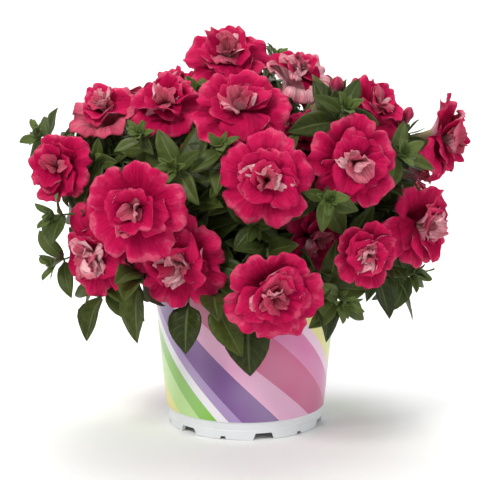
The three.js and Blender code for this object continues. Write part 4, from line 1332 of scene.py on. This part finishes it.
def uncut_pot(materials):
    """The pot as a turned cup, before its notches and holes are cut."""
    corners, printed = pot_profile()
    angle = ring_angles(POT_STEPS)
    points = [polar(angle, radius, height) for radius, height in corners]
    points = np.concatenate((*points, [(0, 0, FLOOR_UNDERSIDE), (0, 0, FLOOR_TOP)])) * MM
    this = np.arange(POT_STEPS)
    after = (this + 1) % POT_STEPS
    faces = []
    for row in range(len(corners) - 1):
        low, high = row * POT_STEPS, (row + 1) * POT_STEPS
        faces += np.stack((low + this, low + after, high + after, high + this), axis=1).tolist()
    under, inner = len(corners) * POT_STEPS, (len(corners) - 1) * POT_STEPS
    for k, n in zip(this.tolist(), after.tolist()):
        faces += [(n, k, under), (inner + k, inner + n, under + 1)]
    finishes = np.zeros(len(faces), dtype=int)
    finishes[printed.start * POT_STEPS:printed.stop * POT_STEPS] = 1
    mesh = bpy.data.meshes.new("nursery_pot")
    mesh.from_pydata(points.tolist(), [], faces)
    for material in materials:
        mesh.materials.append(material)
    mesh.polygons.foreach_set("material_index", finishes)
    outward(mesh)
    return placed("pot_uncut", mesh)


def notch(width, height):
    """A notch through the foot ring at the front, open below and with its upper corners cut off."""
    half, corner = width / 2, height / 2
    outline = [(-half, -1), (half, -1), (half - corner * 0.7, height * 0.75), (half - corner, height),
               (corner - half, height), (corner * 0.7 - half, height * 0.75)]
    return [[(x, -FOOT_RADIUS + aside, z) for x, z in outline] for aside in (NOTCH_REACH, -NOTCH_REACH)]


def drain_hole():
    """A round drain hole at the front, through the pot's floor."""
    angle = ring_angles(DRAIN_SIDES)
    ring = np.stack((np.cos(angle), np.sin(angle)), axis=1) * DRAIN_HOLE_RADIUS - (0, DRAIN_PITCH_RADIUS)
    return [[(x, y, z) for x, y in ring] for z in (FLOOR_UNDERSIDE - CUT_MARGIN, FLOOR_TOP + CUT_MARGIN)]


def pot_cutters():
    """The notches of the foot and the drain holes, as one mesh of closed prisms."""
    solids = []
    for i in range(NOTCHES):
        turn = math.radians(FIRST_NOTCH_DEG + 360 / NOTCHES * i)
        solids.append((notch(*WIDE_NOTCH), turn))
        solids.append((notch(*NARROW_NOTCH), turn + math.pi / NOTCHES))
        solids.append((drain_hole(), turn))
    points, faces = [], []
    for (first, second), turn in solids:
        at, count = len(points), len(first)
        points += (np.array(first + second) @ about_axis(turn).T * MM).tolist()
        for k in range(count):
            n = (k + 1) % count
            faces.append((at + k, at + n, at + n + count, at + k + count))
        faces.append(tuple(at + k for k in reversed(range(count))))
        faces.append(tuple(at + count + k for k in range(count)))
    mesh = bpy.data.meshes.new("cutters")
    mesh.from_pydata(points, [], faces)
    outward(mesh)
    return placed("cutters", mesh)


def make_pot(*materials):
    """The pot as a turned cup with its notches and drain holes cut out."""
    rough, cutters = uncut_pot(materials), pot_cutters()
    cut = rough.modifiers.new("cut", "BOOLEAN")
    cut.operation, cut.solver, cut.object = "DIFFERENCE", "EXACT", cutters
    mesh = evaluated_mesh(rough)
    for spare in (rough, cutters):
        bpy.data.objects.remove(spare)
    shade(mesh)
    mesh.set_sharp_from_angle(angle=math.radians(SHARP_CORNER_DEG))
    finish_piece(placed("nursery_pot", mesh), "pot_plastic", "pot")


# The compost

# How far its edge and its top near the wall lie below its middle, how far in the slope runs, and over how
# wide a ring the unevenness fades towards the wall
COMPOST_COLUMNS = 96
COMPOST_RINGS = 24
EDGE_DROP = 3
SLOPE_DROP = 2.2
SLOPE_WIDTH = 9
RELIEF_WIDTH = 8
CRUMB_SIZE = 1.15
CRUMBS_PER_SQUARE_MM = 0.1
PERLITE_SIZE = 1.3
PERLITE_PER_SQUARE_MM = 0.014


def relief(x, y):
    """The unevenness of the compost's top, from broad hollows down to lumps of a few millimetres."""
    broad = 1.1 * np.sin(x / 9 + 1) * np.cos(y / 11)
    middling = 0.6 * np.sin(x / 4 - y / 5)
    lumps = 0.35 * np.sin(x / 1.7 + np.sin(y / 2.1)) * np.cos(y / 1.9)
    return broad + middling + lumps


def wall_inside(z):
    """How far the compost reaches at a height, just inside the pot's wall."""
    share = (z - FOOT_HEIGHT) / (RIM_UNDER - FOOT_HEIGHT)
    return WALL_FOOT_RADIUS + (WALL_TOP_RADIUS - WALL_FOOT_RADIUS) * share - WALL - 2 * GAP


def compost_rings():
    """The compost's rings, from the middle of its underside over its edge to the middle of its top."""
    angle = ring_angles(COMPOST_COLUMNS)
    bottom, shoulder = FLOOR_TOP + GAP, COMPOST_TOP - EDGE_DROP
    edge = wall_inside(shoulder)
    corners = ((0.5, bottom), (wall_inside(bottom) - 1, bottom), (edge, shoulder))
    rings = [polar(angle, radius, height) for radius, height in corners]
    for radius in np.linspace(edge - 2.5, 0.4, COMPOST_RINGS):
        ring = polar(angle, radius, COMPOST_TOP)
        ring[:, 2] += relief(ring[:, 0], ring[:, 1]) * smooth(edge, edge - RELIEF_WIDTH, radius)
        ring[:, 2] -= SLOPE_DROP * smooth(edge - SLOPE_WIDTH, edge, radius)
        rings.append(ring)
    return np.array(rings)


def turned(name, rings, material):
    """An open turned surface from its rings."""
    rows, columns = rings.shape[:2]
    gathered = Gathered()
    gathered.add(rings.reshape(-1, 3), sheet_faces(rows, columns, True)[:(rows - 1) * columns])
    return gathered.made(name, material)


def close_ends(mesh, columns):
    """Closes the first and the last ring of a turned mesh with one face each."""
    bm = bmesh.new()
    bm.from_mesh(mesh)
    bm.verts.ensure_lookup_table()
    for ring in (bm.verts[:columns], bm.verts[-columns:]):
        bm.faces.new(ring)
    bmesh.ops.recalc_face_normals(bm, faces=bm.faces)
    bm.to_mesh(mesh)
    bm.free()


def make_compost(peat, perlite):
    """The body of the compost, and the crumbs and white grains that lie on its top."""
    rings = compost_rings()
    body = turned("compost_body", rings, peat)
    close_ends(body.data, COMPOST_COLUMNS)
    finish_piece(body, "compost", "compost")
    ground = turned("ground", rings[4:], peat)
    kinds = (
        ("compost_crumbs", CRUMB_SIZE, CRUMBS_PER_SQUARE_MM, 3, peat),
        ("perlite_grains", PERLITE_SIZE, PERLITE_PER_SQUARE_MM, 8, perlite),
    )
    for name, size, number, seed, finish in kinds:
        tree = scatter_tree("crumbs", ("Size",), crumb_shape, finish)
        values = {"Size": size * MM, "Density": number * PER_SQUARE_METRE, "Seed": seed}
        piece = grown(name, ground, tree, values)
        shade(piece.data, False)
        finish_piece(piece, "compost", "compost")
    bpy.data.objects.remove(ground)


# Materials


def linear(hex_colour):
    """An sRGB hex colour as linear red, green, blue and alpha."""
    parts = [int(hex_colour[i:i + 2], 16) / 255 for i in (1, 3, 5)]
    return (*[p / 12.92 if p <= 0.04045 else ((p + 0.055) / 1.055) ** 2.4 for p in parts], 1.0)


def cells(size_mm):
    """The scale of a noise whose cells have this real size."""
    return 1 / (size_mm * MM)


def new_material(name, **sockets):
    """A material, what adds a node to it, its Principled shader with its constants, and the place on it."""
    material = bpy.data.materials.new(name)
    material.use_nodes = True
    tree = material.node_tree
    shader = tree.nodes["Principled BSDF"]
    for socket, value in sockets.items():
        shader.inputs[socket.replace("_", " ")].default_value = value
    add = partial(add_node, tree)
    return material, add, shader, add("ShaderNodeTexCoord").outputs["Object"]


def finish_material(add, shader, colour, height, strength, depth_mm):
    """Gives the shader its colour, and a relief that is as deep as the real one."""
    raised = add("ShaderNodeBump", {"Strength": strength, "Distance": depth_mm * MM, "Height": height})
    links = shader.id_data.links
    links.new(raised.outputs[0], shader.inputs["Normal"])
    links.new(next(output for output in colour.outputs if output.enabled), shader.inputs["Base Color"])


# The face from heart to rim: the petal's own crimson, with painted shade in the dark heart and a painted
# highlight in the coral rim
PETAL_FACE_AND_PAINTED_LIGHT = (
    (0.0, "#66032E"), (0.3, "#90053C"), (0.55, "#B40A47"),
    (0.78, "#C0124F"), (0.93, "#CC2A5C"), (1.0, "#D65072"),
)
PETAL_BACK = (
    (0.0, "#A79C74"), (0.12, "#C79C8D"), (0.35, "#DA9CAA"),
    (0.65, "#CF7A90"), (0.85, "#BE3F62"), (1.0, "#B42650"),
)


def petal_patterns(add, across, along, tone):
    """The rays that run out along a petal and the folds that cross it, as two noises.

    One unit across is 10 to 17 mm, so the rays are 1.3 to 2.3 mm apart and the folds 1 to 1.7 mm.
    """
    patterns = []
    for wide, long, scale, distortion in ((5.0, 0.7, 1.5, 0.6), (4.5, 3.2, 2.2, 0.8)):
        run_across = add("ShaderNodeMath", {0: across, 1: wide}, operation="MULTIPLY")
        run_along = add("ShaderNodeMath", {0: along, 1: long}, operation="MULTIPLY")
        spot = add("ShaderNodeCombineXYZ", {0: run_across, 1: run_along, 2: tone})
        values = {"Vector": spot, "Scale": scale, "Detail": 4.0, "Distortion": distortion}
        patterns.append(add("ShaderNodeTexNoise", values))
    return patterns


def petal_material():
    """Petunia petal: a thin sheet of living cells with a velvet face.

    Its magenta heart turns crimson and then coral at the rim, partly its own colour and partly painted
    light:
    the heart is darkened by painted shade and the rim and margins lightened by a painted highlight. Fine
    dark veins run out along it. Its back goes from olive cream through dusty pink to red, and its small
    inner petals are streaked with pale pink.
    """
    material, add, shader, place = new_material(
        "petunia_petal_velvet",
        Roughness=0.5,
        Specular_IOR_Level=0.03,
        Sheen_Weight=0.02,
        Sheen_Roughness=0.4,
        Sheen_Tint=linear("#FF9DB0"),
        Subsurface_Weight=0.06,
        Subsurface_Radius=(1.0, 0.28, 0.3),
        Subsurface_Scale=1.2 * MM,
    )
    radial, across, along, tone, pale, back = [
        add("ShaderNodeAttribute", attribute_name=name).outputs["Fac"]
        for name in ("radial", "across", "along", "tone", "pale", "back")
    ]
    rays, folds = petal_patterns(add, across, along, tone)
    mottle = add("ShaderNodeTexNoise", {"Vector": place, "Scale": cells(9.09), "Detail": 3.0})
    sway = add("ShaderNodeMapRange", {0: mottle, 1: 0.3, 2: 0.7, 3: -0.2, 4: 0.17})
    reach = add("ShaderNodeMath", {0: radial, 1: sway}, operation="ADD")
    lighter = add("ShaderNodeMath", {0: tone, 1: 0.5}, operation="MULTIPLY")
    ray = add("ShaderNodeMapRange", {0: rays, 1: 0.46, 2: 0.68, 4: 0.58}, interpolation_type="SMOOTHSTEP")
    fading = add("ShaderNodeMapRange", {0: along, 1: 0.3, 2: 1.0, 3: 1.0, 4: 0.35})
    veins = add("ShaderNodeMath", {0: ray, 1: fading}, operation="MULTIPLY")
    streaks = add("ShaderNodeMapRange", {0: rays, 1: 0.48, 2: 0.66, 3: 1.0, 4: 0.45})
    blush = add("ShaderNodeMapRange", {0: reach, 1: 0.75, 2: 1.0, 3: 1.0, 4: 0.45})
    light = add("ShaderNodeMath", {0: streaks, 1: pale}, operation="MULTIPLY")
    light = add("ShaderNodeMath", {0: light, 1: blush}, operation="MULTIPLY")
    # Painted shade darkens the face towards the heart and a painted highlight lightens it at the rim and
    # margins
    face = add("ShaderNodeValToRGB", {0: reach}, PETAL_FACE_AND_PAINTED_LIGHT)
    for share, tint in ((lighter, "#D02158"), (veins, "#84072F"), (light, "#FCC8CE")):
        face = add("ShaderNodeMix", {0: share, 6: face, 7: linear(tint)}, data_type="RGBA")
    under = add("ShaderNodeValToRGB", {0: along}, PETAL_BACK)
    for share, tint in ((veins, "#94485B"), (light, "#F8C4CC")):
        under = add("ShaderNodeMix", {0: share, 6: under, 7: linear(tint)}, data_type="RGBA")
    colour = add("ShaderNodeMix", {0: back, 6: face, 7: under}, data_type="RGBA")
    finish_material(add, shader, colour, folds, strength=0.8, depth_mm=1.5)
    return material


# A bud's ridges have its own colours; the furrows between its pleats are those colours darkened by painted
# shade
BUD_RIDGES = ((0.0, "#8A9A58"), (0.3, "#B98A8C"), (0.5, "#BC5875"), (0.75, "#AE224C"), (1.0, "#C0355A"))
BUD_FURROWS_PAINTED_SHADE = ((0.0, "#6A7A3E"), (0.3, "#8E6466"), (0.5, "#963F5A"), (0.75, "#8A1238"), (1.0, "#A81A45"))


def bud_material():
    """Closed petunia bud: pleated petals wound tight, matt and deep rose, green where its tube starts."""
    material, add, shader, place = new_material(
        "petunia_bud_satin",
        Roughness=0.55,
        Specular_IOR_Level=0.25,
        Sheen_Weight=0.15,
        Sheen_Roughness=0.5,
        Subsurface_Weight=0.1,
        Subsurface_Radius=(1.0, 0.3, 0.3),
        Subsurface_Scale=1.0 * MM,
    )
    along, pleat = [
        add("ShaderNodeAttribute", attribute_name=name).outputs["Fac"]
        for name in ("along", "across")
    ]
    # Real cells are a tenth of this and wouldn't show
    streaks = add("ShaderNodeTexNoise", {"Vector": place, "Scale": cells(1.111), "Detail": 3.0})
    ridge = add("ShaderNodeValToRGB", {0: along}, BUD_RIDGES)
    furrow = add("ShaderNodeValToRGB", {0: along}, BUD_FURROWS_PAINTED_SHADE)
    # Painted shade: the furrows between the pleats take the darker colours, the ridges their own
    colour = add("ShaderNodeMix", {0: pleat, 6: furrow, 7: ridge}, data_type="RGBA")
    finish_material(add, shader, colour, streaks, strength=0.3, depth_mm=0.3)
    return material


LEAF_GREENS = ((0.0, "#20290A"), (0.5, "#31390F"), (1.0, "#48511C"))


def leaf_material():
    """Petunia leaf: a soft, hairy, slightly waxy blade, so it is half matt with a pale sheen.

    A light midrib and side veins run through it, young leaves are yellower, and the back is greyer.
    """
    material, add, shader, place = new_material(
        "petunia_leaf_downy",
        Roughness=0.42,
        Specular_IOR_Level=0.2,
        Sheen_Weight=0.04,
        Sheen_Roughness=0.5,
        Sheen_Tint=linear("#DDE8C8"),
        Subsurface_Weight=0.05,
        Subsurface_Radius=(0.4, 0.8, 0.2),
        Subsurface_Scale=0.8 * MM,
    )
    across, along, tone, young, back = [
        add("ShaderNodeAttribute", attribute_name=name).outputs["Fac"]
        for name in ("across", "along", "tone", "young", "back")
    ]
    mottle = add("ShaderNodeTexNoise", {"Vector": place, "Scale": cells(3.846), "Detail": 3.0})
    sway = add("ShaderNodeMapRange", {0: mottle, 1: 0.3, 2: 0.7, 3: -0.25, 4: 0.25})
    depth = add("ShaderNodeMath", {0: tone, 1: sway}, operation="ADD")
    # The shares of the young green, the side veins, the midrib and the grey of the back
    fresh = add("ShaderNodeMath", {0: young, 1: 0.65}, operation="MULTIPLY")
    aside = add("ShaderNodeMath", {0: across}, operation="ABSOLUTE")
    rise = add("ShaderNodeMath", {0: aside, 1: -VEIN_SLANT}, operation="MULTIPLY")
    run = add("ShaderNodeMath", {0: along, 1: SIDE_VEINS, 2: rise}, operation="MULTIPLY_ADD")
    to_vein = add("ShaderNodeMath", {0: run, 1: 0.5}, operation="PINGPONG")
    vein = add("ShaderNodeMapRange", {0: to_vein, 1: 0.38, 2: 0.5}, interpolation_type="SMOOTHSTEP")
    vein_share = add("ShaderNodeMath", {0: vein, 1: 0.16}, operation="MULTIPLY")
    midrib = add("ShaderNodeMapRange", {0: aside, 1: 0.02, 2: 0.1, 3: 0.38, 4: 0.0})
    greyer = add("ShaderNodeMath", {0: back, 1: 0.5}, operation="MULTIPLY")
    colour = add("ShaderNodeValToRGB", {0: depth}, LEAF_GREENS)
    tints = ((fresh, "#65783A"), (vein_share, "#59693A"), (midrib, "#7C8A58"), (greyer, "#66744C"))
    for share, tint in tints:
        colour = add("ShaderNodeMix", {0: share, 6: colour, 7: linear(tint)}, data_type="RGBA")
    height = add("ShaderNodeMath", {0: vein, 1: -0.7, 2: mottle}, operation="MULTIPLY_ADD")
    finish_material(add, shader, colour, height, strength=0.35, depth_mm=0.3)
    return material


def stem_material():
    """Petunia stem: a juicy hairy stalk, satin green with a flush of red-brown in patches."""
    material, add, shader, place = new_material(
        "petunia_stem_juicy",
        Roughness=0.5,
        Specular_IOR_Level=0.35,
        Sheen_Weight=0.12,
        Sheen_Roughness=0.5,
        Subsurface_Weight=0.08,
        Subsurface_Radius=(0.4, 0.8, 0.2),
        Subsurface_Scale=1.0 * MM,
    )
    patches = add("ShaderNodeTexNoise", {"Vector": place, "Scale": cells(22.2), "Detail": 2.0})
    flush = add("ShaderNodeMapRange", {0: patches, 1: 0.48, 2: 0.68, 4: 0.5})
    # Real cells are a tenth of this and wouldn't show
    fine = add("ShaderNodeTexNoise", {"Vector": place, "Scale": cells(1.4286), "Detail": 3.0})
    grain = add("ShaderNodeMath", {0: fine, 1: 0.4}, operation="MULTIPLY")
    ends = {6: linear("#53652E"), 7: linear("#66482F")}
    colour = add("ShaderNodeMix", {0: flush, **ends}, data_type="RGBA")
    colour = add("ShaderNodeMix", {0: grain, 6: colour, 7: linear("#74864A")}, data_type="RGBA")
    finish_material(add, shader, colour, fine, strength=0.3, depth_mm=0.3)
    return material


def hair_material():
    """Sticky plant hairs: clear whitish threads that catch the light."""
    material, add, shader, place = new_material(
        "petunia_hair_clear",
        Roughness=0.35,
        Subsurface_Weight=0.2,
        Subsurface_Scale=0.5 * MM,
    )
    # A hair changes along itself far more finely than this, which wouldn't show
    fine = add("ShaderNodeTexNoise", {"Vector": place, "Scale": cells(2.5), "Detail": 2.0})
    ends = {6: linear("#A3AF86"), 7: linear("#D3D9BC")}
    colour = add("ShaderNodeMix", {0: fine, **ends}, data_type="RGBA")
    finish_material(add, shader, colour, fine, strength=0.1, depth_mm=0.02)
    return material


def pot_material():
    """Injection-moulded white polypropylene: smooth, cool white, softly glossy, with faint flow marks."""
    material, add, shader, place = new_material(
        "polypropylene_moulded_white",
        Roughness=0.38,
        IOR=1.49,
        Subsurface_Weight=0.05,
        Subsurface_Radius=(1.0, 1.0, 1.0),
        Subsurface_Scale=1.0 * MM,
    )
    cloud = add("ShaderNodeTexNoise", {"Vector": place, "Scale": cells(28.57), "Detail": 2.0})
    ends = {6: linear("#DFE2E5"), 7: linear("#ECEEF0")}
    colour = add("ShaderNodeMix", {0: cloud, **ends}, data_type="RGBA")
    # Real dust is finer than a tenth of a millimetre and wouldn't show
    specks = add("ShaderNodeTexNoise", {"Vector": place, "Scale": cells(1.111), "Detail": 2.0})
    dust = add("ShaderNodeMapRange", {0: specks, 1: 0.62, 2: 0.75, 4: 0.12})
    colour = add("ShaderNodeMix", {0: dust, 6: colour, 7: linear("#A9A69E")}, data_type="RGBA")
    flow = add("ShaderNodeTexNoise", {"Vector": place, "Scale": cells(6.25), "Detail": 2.0})
    finish_material(add, shader, colour, flow, strength=0.08, depth_mm=0.3)
    return material


# The printed ribbons: where each colour starts in a set and the set's colours, how many sets go round the
# pot, how far a ribbon climbs over the print's height, and how it waves
RIBBONS = (
    (0.0, "#B9DF8C"), (0.1, "#7EC032"), (0.2, "#F0ECF3"), (0.27, "#A98DC0"), (0.35, "#73408D"),
    (0.53, "#E7A5CC"), (0.62, "#C9307A"), (0.73, "#DA72AC"), (0.84, "#EFC9E0"), (0.91, "#E6DE86"),
)
RIBBON_SETS = 2
RIBBON_SLANT = 0.55
RIBBON_START = 4.27
RIBBON_WAVES = 3.0
RIBBON_WAVE_CLIMB = 4.2
RIBBON_WAVE_SIZE = 0.055
PRINT_HEIGHT = POT_HEIGHT - RIM_HEIGHT - FOOT_HEIGHT


def print_material():
    """In-mould printed film on polypropylene: saturated inks under a clear satin skin.

    Broad slanting ribbons wave round the pot in two sets, so that the pattern meets itself at the back.
    """
    material, add, shader, place = new_material(
        "printed_film_satin",
        Roughness=0.32,
        IOR=1.5,
        Coat_Weight=0.25,
        Coat_Roughness=0.25,
    )
    axes = add("ShaderNodeSeparateXYZ", {0: place}).outputs
    front = add("ShaderNodeMath", {0: axes[1], 1: -1.0}, operation="MULTIPLY")
    turn = add("ShaderNodeMath", {0: axes[0], 1: front}, operation="ARCTAN2")
    height = add("ShaderNodeMath", {0: axes[2], 1: PRINT_HEIGHT * MM}, operation="DIVIDE")
    # The run round the pot, moved by the waves and by the slant
    climb = add("ShaderNodeMath", {0: height, 1: RIBBON_WAVE_CLIMB}, operation="MULTIPLY")
    phase = add("ShaderNodeMath", {0: turn, 1: RIBBON_WAVES, 2: climb}, operation="MULTIPLY_ADD")
    wave = add("ShaderNodeMath", {0: phase}, operation="SINE")
    slant = add("ShaderNodeMath", {0: height, 1: RIBBON_SLANT, 2: RIBBON_START}, operation="MULTIPLY_ADD")
    swell = add("ShaderNodeMath", {0: wave, 1: RIBBON_WAVE_SIZE, 2: slant}, operation="MULTIPLY_ADD")
    sets = RIBBON_SETS / (2 * math.pi)
    run = add("ShaderNodeMath", {0: turn, 1: sets, 2: swell}, operation="MULTIPLY_ADD")
    share = add("ShaderNodeMath", {0: run}, operation="FRACT")
    ink = add("ShaderNodeValToRGB", {0: share}, RIBBONS)
    ink.color_ramp.interpolation = "CONSTANT"
    cloud = add("ShaderNodeTexNoise", {"Vector": place, "Scale": cells(45.45), "Detail": 1.0})
    faded = add("ShaderNodeMapRange", {0: cloud, 1: 0.35, 2: 0.7, 4: 0.16})
    # Real ink dots are about 0.15 mm apart and wouldn't show
    dots = add("ShaderNodeTexNoise", {"Vector": place, "Scale": cells(0.6667), "Detail": 2.0})
    grain = add("ShaderNodeMath", {0: dots, 1: 0.06}, operation="MULTIPLY")
    for share, tint in ((faded, "#FFFFFF"), (grain, "#5A4A66")):
        ink = add("ShaderNodeMix", {0: share, 6: ink, 7: linear(tint)}, data_type="RGBA")
    flow = add("ShaderNodeTexNoise", {"Vector": place, "Scale": cells(8.333), "Detail": 2.0})
    finish_material(add, shader, ink, flow, strength=0.06, depth_mm=0.3)
    return material


COMPOST_BROWNS = ((0.3, "#1B120C"), (0.5, "#33241A"), (0.62, "#4A3626"), (0.75, "#6B5138"))


def compost_material():
    """Peat compost: dark brown fibres and crumbs, damp and quite matt."""
    material, add, shader, place = new_material("peat_compost_damp", Roughness=0.9, Specular_IOR_Level=0.25)
    fibres = {"Vector": place, "Scale": cells(3.125), "Detail": 4.0, "Distortion": 0.5}
    coarse = add("ShaderNodeTexNoise", fibres)
    # Real fibres are about 0.2 mm thick and wouldn't show
    fine = add("ShaderNodeTexNoise", {"Vector": place, "Scale": cells(0.625), "Detail": 3.0})
    colour = add("ShaderNodeValToRGB", {0: coarse}, COMPOST_BROWNS)
    damp = add("ShaderNodeMath", {0: fine, 1: 0.4}, operation="MULTIPLY")
    colour = add("ShaderNodeMix", {0: damp, 6: colour, 7: linear("#241810")}, data_type="RGBA")
    height = add("ShaderNodeMath", {0: coarse, 1: fine}, operation="ADD")
    finish_material(add, shader, colour, height, strength=0.8, depth_mm=0.6)
    return material


def perlite_material():
    """Expanded perlite: light glassy foam, off-white and chalky."""
    material, add, shader, place = new_material("perlite_expanded_chalky", Roughness=0.8)
    # Real pits are about 0.2 mm wide and wouldn't show
    pits = add("ShaderNodeTexNoise", {"Vector": place, "Scale": cells(0.7143), "Detail": 3.0})
    ends = {6: linear("#C9C3B6"), 7: linear("#F1EEE6")}
    colour = add("ShaderNodeMix", {0: pits, **ends}, data_type="RGBA")
    finish_material(add, shader, colour, pits, strength=0.6, depth_mm=0.3)
    return material


def backdrop_material():
    """Studio paper: matt and white, with the faintest cloud of tone."""
    material, add, shader, place = new_material("studio_paper_matt", Roughness=0.95, Specular_IOR_Level=0.1)
    cloud = add("ShaderNodeTexNoise", {"Vector": place, "Scale": cells(333.3), "Detail": 1.0})
    ends = {6: linear("#F7F7F6"), 7: linear("#FAFAF9")}
    colour = add("ShaderNodeMix", {0: cloud, **ends}, data_type="RGBA")
    finish_material(add, shader, colour, cloud, strength=0.02, depth_mm=0.1)
    return material


# The studio

# The floor's cross-section in metres, from in front of the pot to where it has curved up behind it
FLOOR_DEPTHS = (-9.0, 1.2, 1.5, 1.75, 1.9, 1.95, 1.95)
FLOOR_HEIGHTS = (0, 0, 0.03, 0.13, 0.32, 0.6, 2.8)
FLOOR_HALF_WIDTH = 9.0
FLOOR_DROP = 0.0002

# Each light: its place and the point that it shines at in metres, its width, its power and its colour
LIGHTS = {
    "key_light": ((-0.75, -1.15, 1.35), (0, 0, 0.14), 0.6, 20.0, "#FFFDF8"),
    "fill_light": ((1.2, -0.9, 0.7), (0, 0, 0.14), 1.0, 4.0, "#F8FAFF"),
    "top_light": ((0.1, 0.35, 1.6), (0, 0, 0.15), 1.2, 10.0, "#FFFFFF"),
    "backdrop_light": ((0, 0.7, 1.5), (0, 1.9, 0.35), 1.2, 22.0, "#FFFFFF"),
}
AIR_COLOUR = "#F2F4F6"
AIR_STRENGTH = 0.45
CLIP_NEAR = 0.05
CLIP_FAR = 20


def make_floor():
    """A wide pale floor that curves up far behind the pot."""
    points = []
    for y, z in zip(FLOOR_DEPTHS, FLOOR_HEIGHTS):
        points += [(x, y, z - FLOOR_DROP) for x in (-FLOOR_HALF_WIDTH, FLOOR_HALF_WIDTH)]
    faces = [(2 * i, 2 * i + 1, 2 * i + 3, 2 * i + 2) for i in range(len(FLOOR_DEPTHS) - 1)]
    mesh = bpy.data.meshes.new("studio_floor")
    mesh.from_pydata(points, [], faces)
    shade(mesh)
    mesh.materials.append(backdrop_material())
    placed("studio_floor", mesh)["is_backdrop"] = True


def make_light(name, place, target, size, power, colour):
    """A round lamp that shines from its place at a target."""
    data = bpy.data.lights.new(name, "AREA")
    data.shape, data.size = "DISK", size
    data.energy, data.color = power, linear(colour)[:3]
    aim(placed(name, data), Vector(place), Vector(target))


def aim(piece, place, target):
    """Puts a lamp or the camera in its place and turns it towards a target."""
    piece.location = place
    piece.rotation_euler = (target - place).to_track_quat("-Z", "Y").to_euler()


def make_studio():
    """The floor, the lamps and the pale air round them."""
    make_floor()
    for name, light in LIGHTS.items():
        make_light(name, *light)
    world = bpy.data.worlds.new("studio_air")
    bpy.context.scene.world = world
    world.use_nodes = True
    background = world.node_tree.nodes["Background"]
    background.inputs["Color"].default_value = linear(AIR_COLOUR)
    background.inputs["Strength"].default_value = AIR_STRENGTH


def make_camera():
    """The photograph's camera."""
    data = bpy.data.cameras.new("camera")
    data.lens, data.sensor_width = CAMERA_LENS, SENSOR
    data.clip_start, data.clip_end = CLIP_NEAR, CLIP_FAR
    camera = placed("camera", data)
    aim(camera, Vector(CAMERA_PLACE) * MM, Vector(CAMERA_TARGET) * MM)
    bpy.context.scene.camera = camera


def make_plant():
    """Every bloom, bud and leafy stem, planned in the order in which the solids are."""
    blooms = [bloom_plan(row, index) for index, row in enumerate(BLOOMS)]
    others = []
    stems = [stem_plan(row, index, blooms, others) for index, row in enumerate(STEMS)]
    petal, leaf, bud = petal_material(), leaf_material(), bud_material()
    for bloom in blooms:
        make_bloom(bloom, petal)
    for index, row in enumerate(BUDS):
        make_bud(index, row, bud)
    hairs = scatter_tree("sticky_hairs", ("Length", "Radius"), hair_shape, hair_material())
    trees = (stem_tree(stem_material()), hairs)
    noise = np.random.default_rng(FILLER_SEED)
    for stem in stems:
        fillers = filler_leaves(stem, blooms, others, noise)
        make_leaves(stem, fillers, leaf)
        make_stems(stem, trees, leaf)


def write_sizes():
    """Works out the box of the solids and the box of what is shown, and keeps neither."""
    boxes = {"cad": cad_box, "visual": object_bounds()}
    {name: [list(corner) for corner in box] for name, box in boxes.items()}


make_camera()
make_studio()
make_plant()
make_pot(pot_material(), print_material())
make_compost(compost_material(), perlite_material())
bpy.context.scene.view_settings.view_transform = "Standard"
write_sizes()
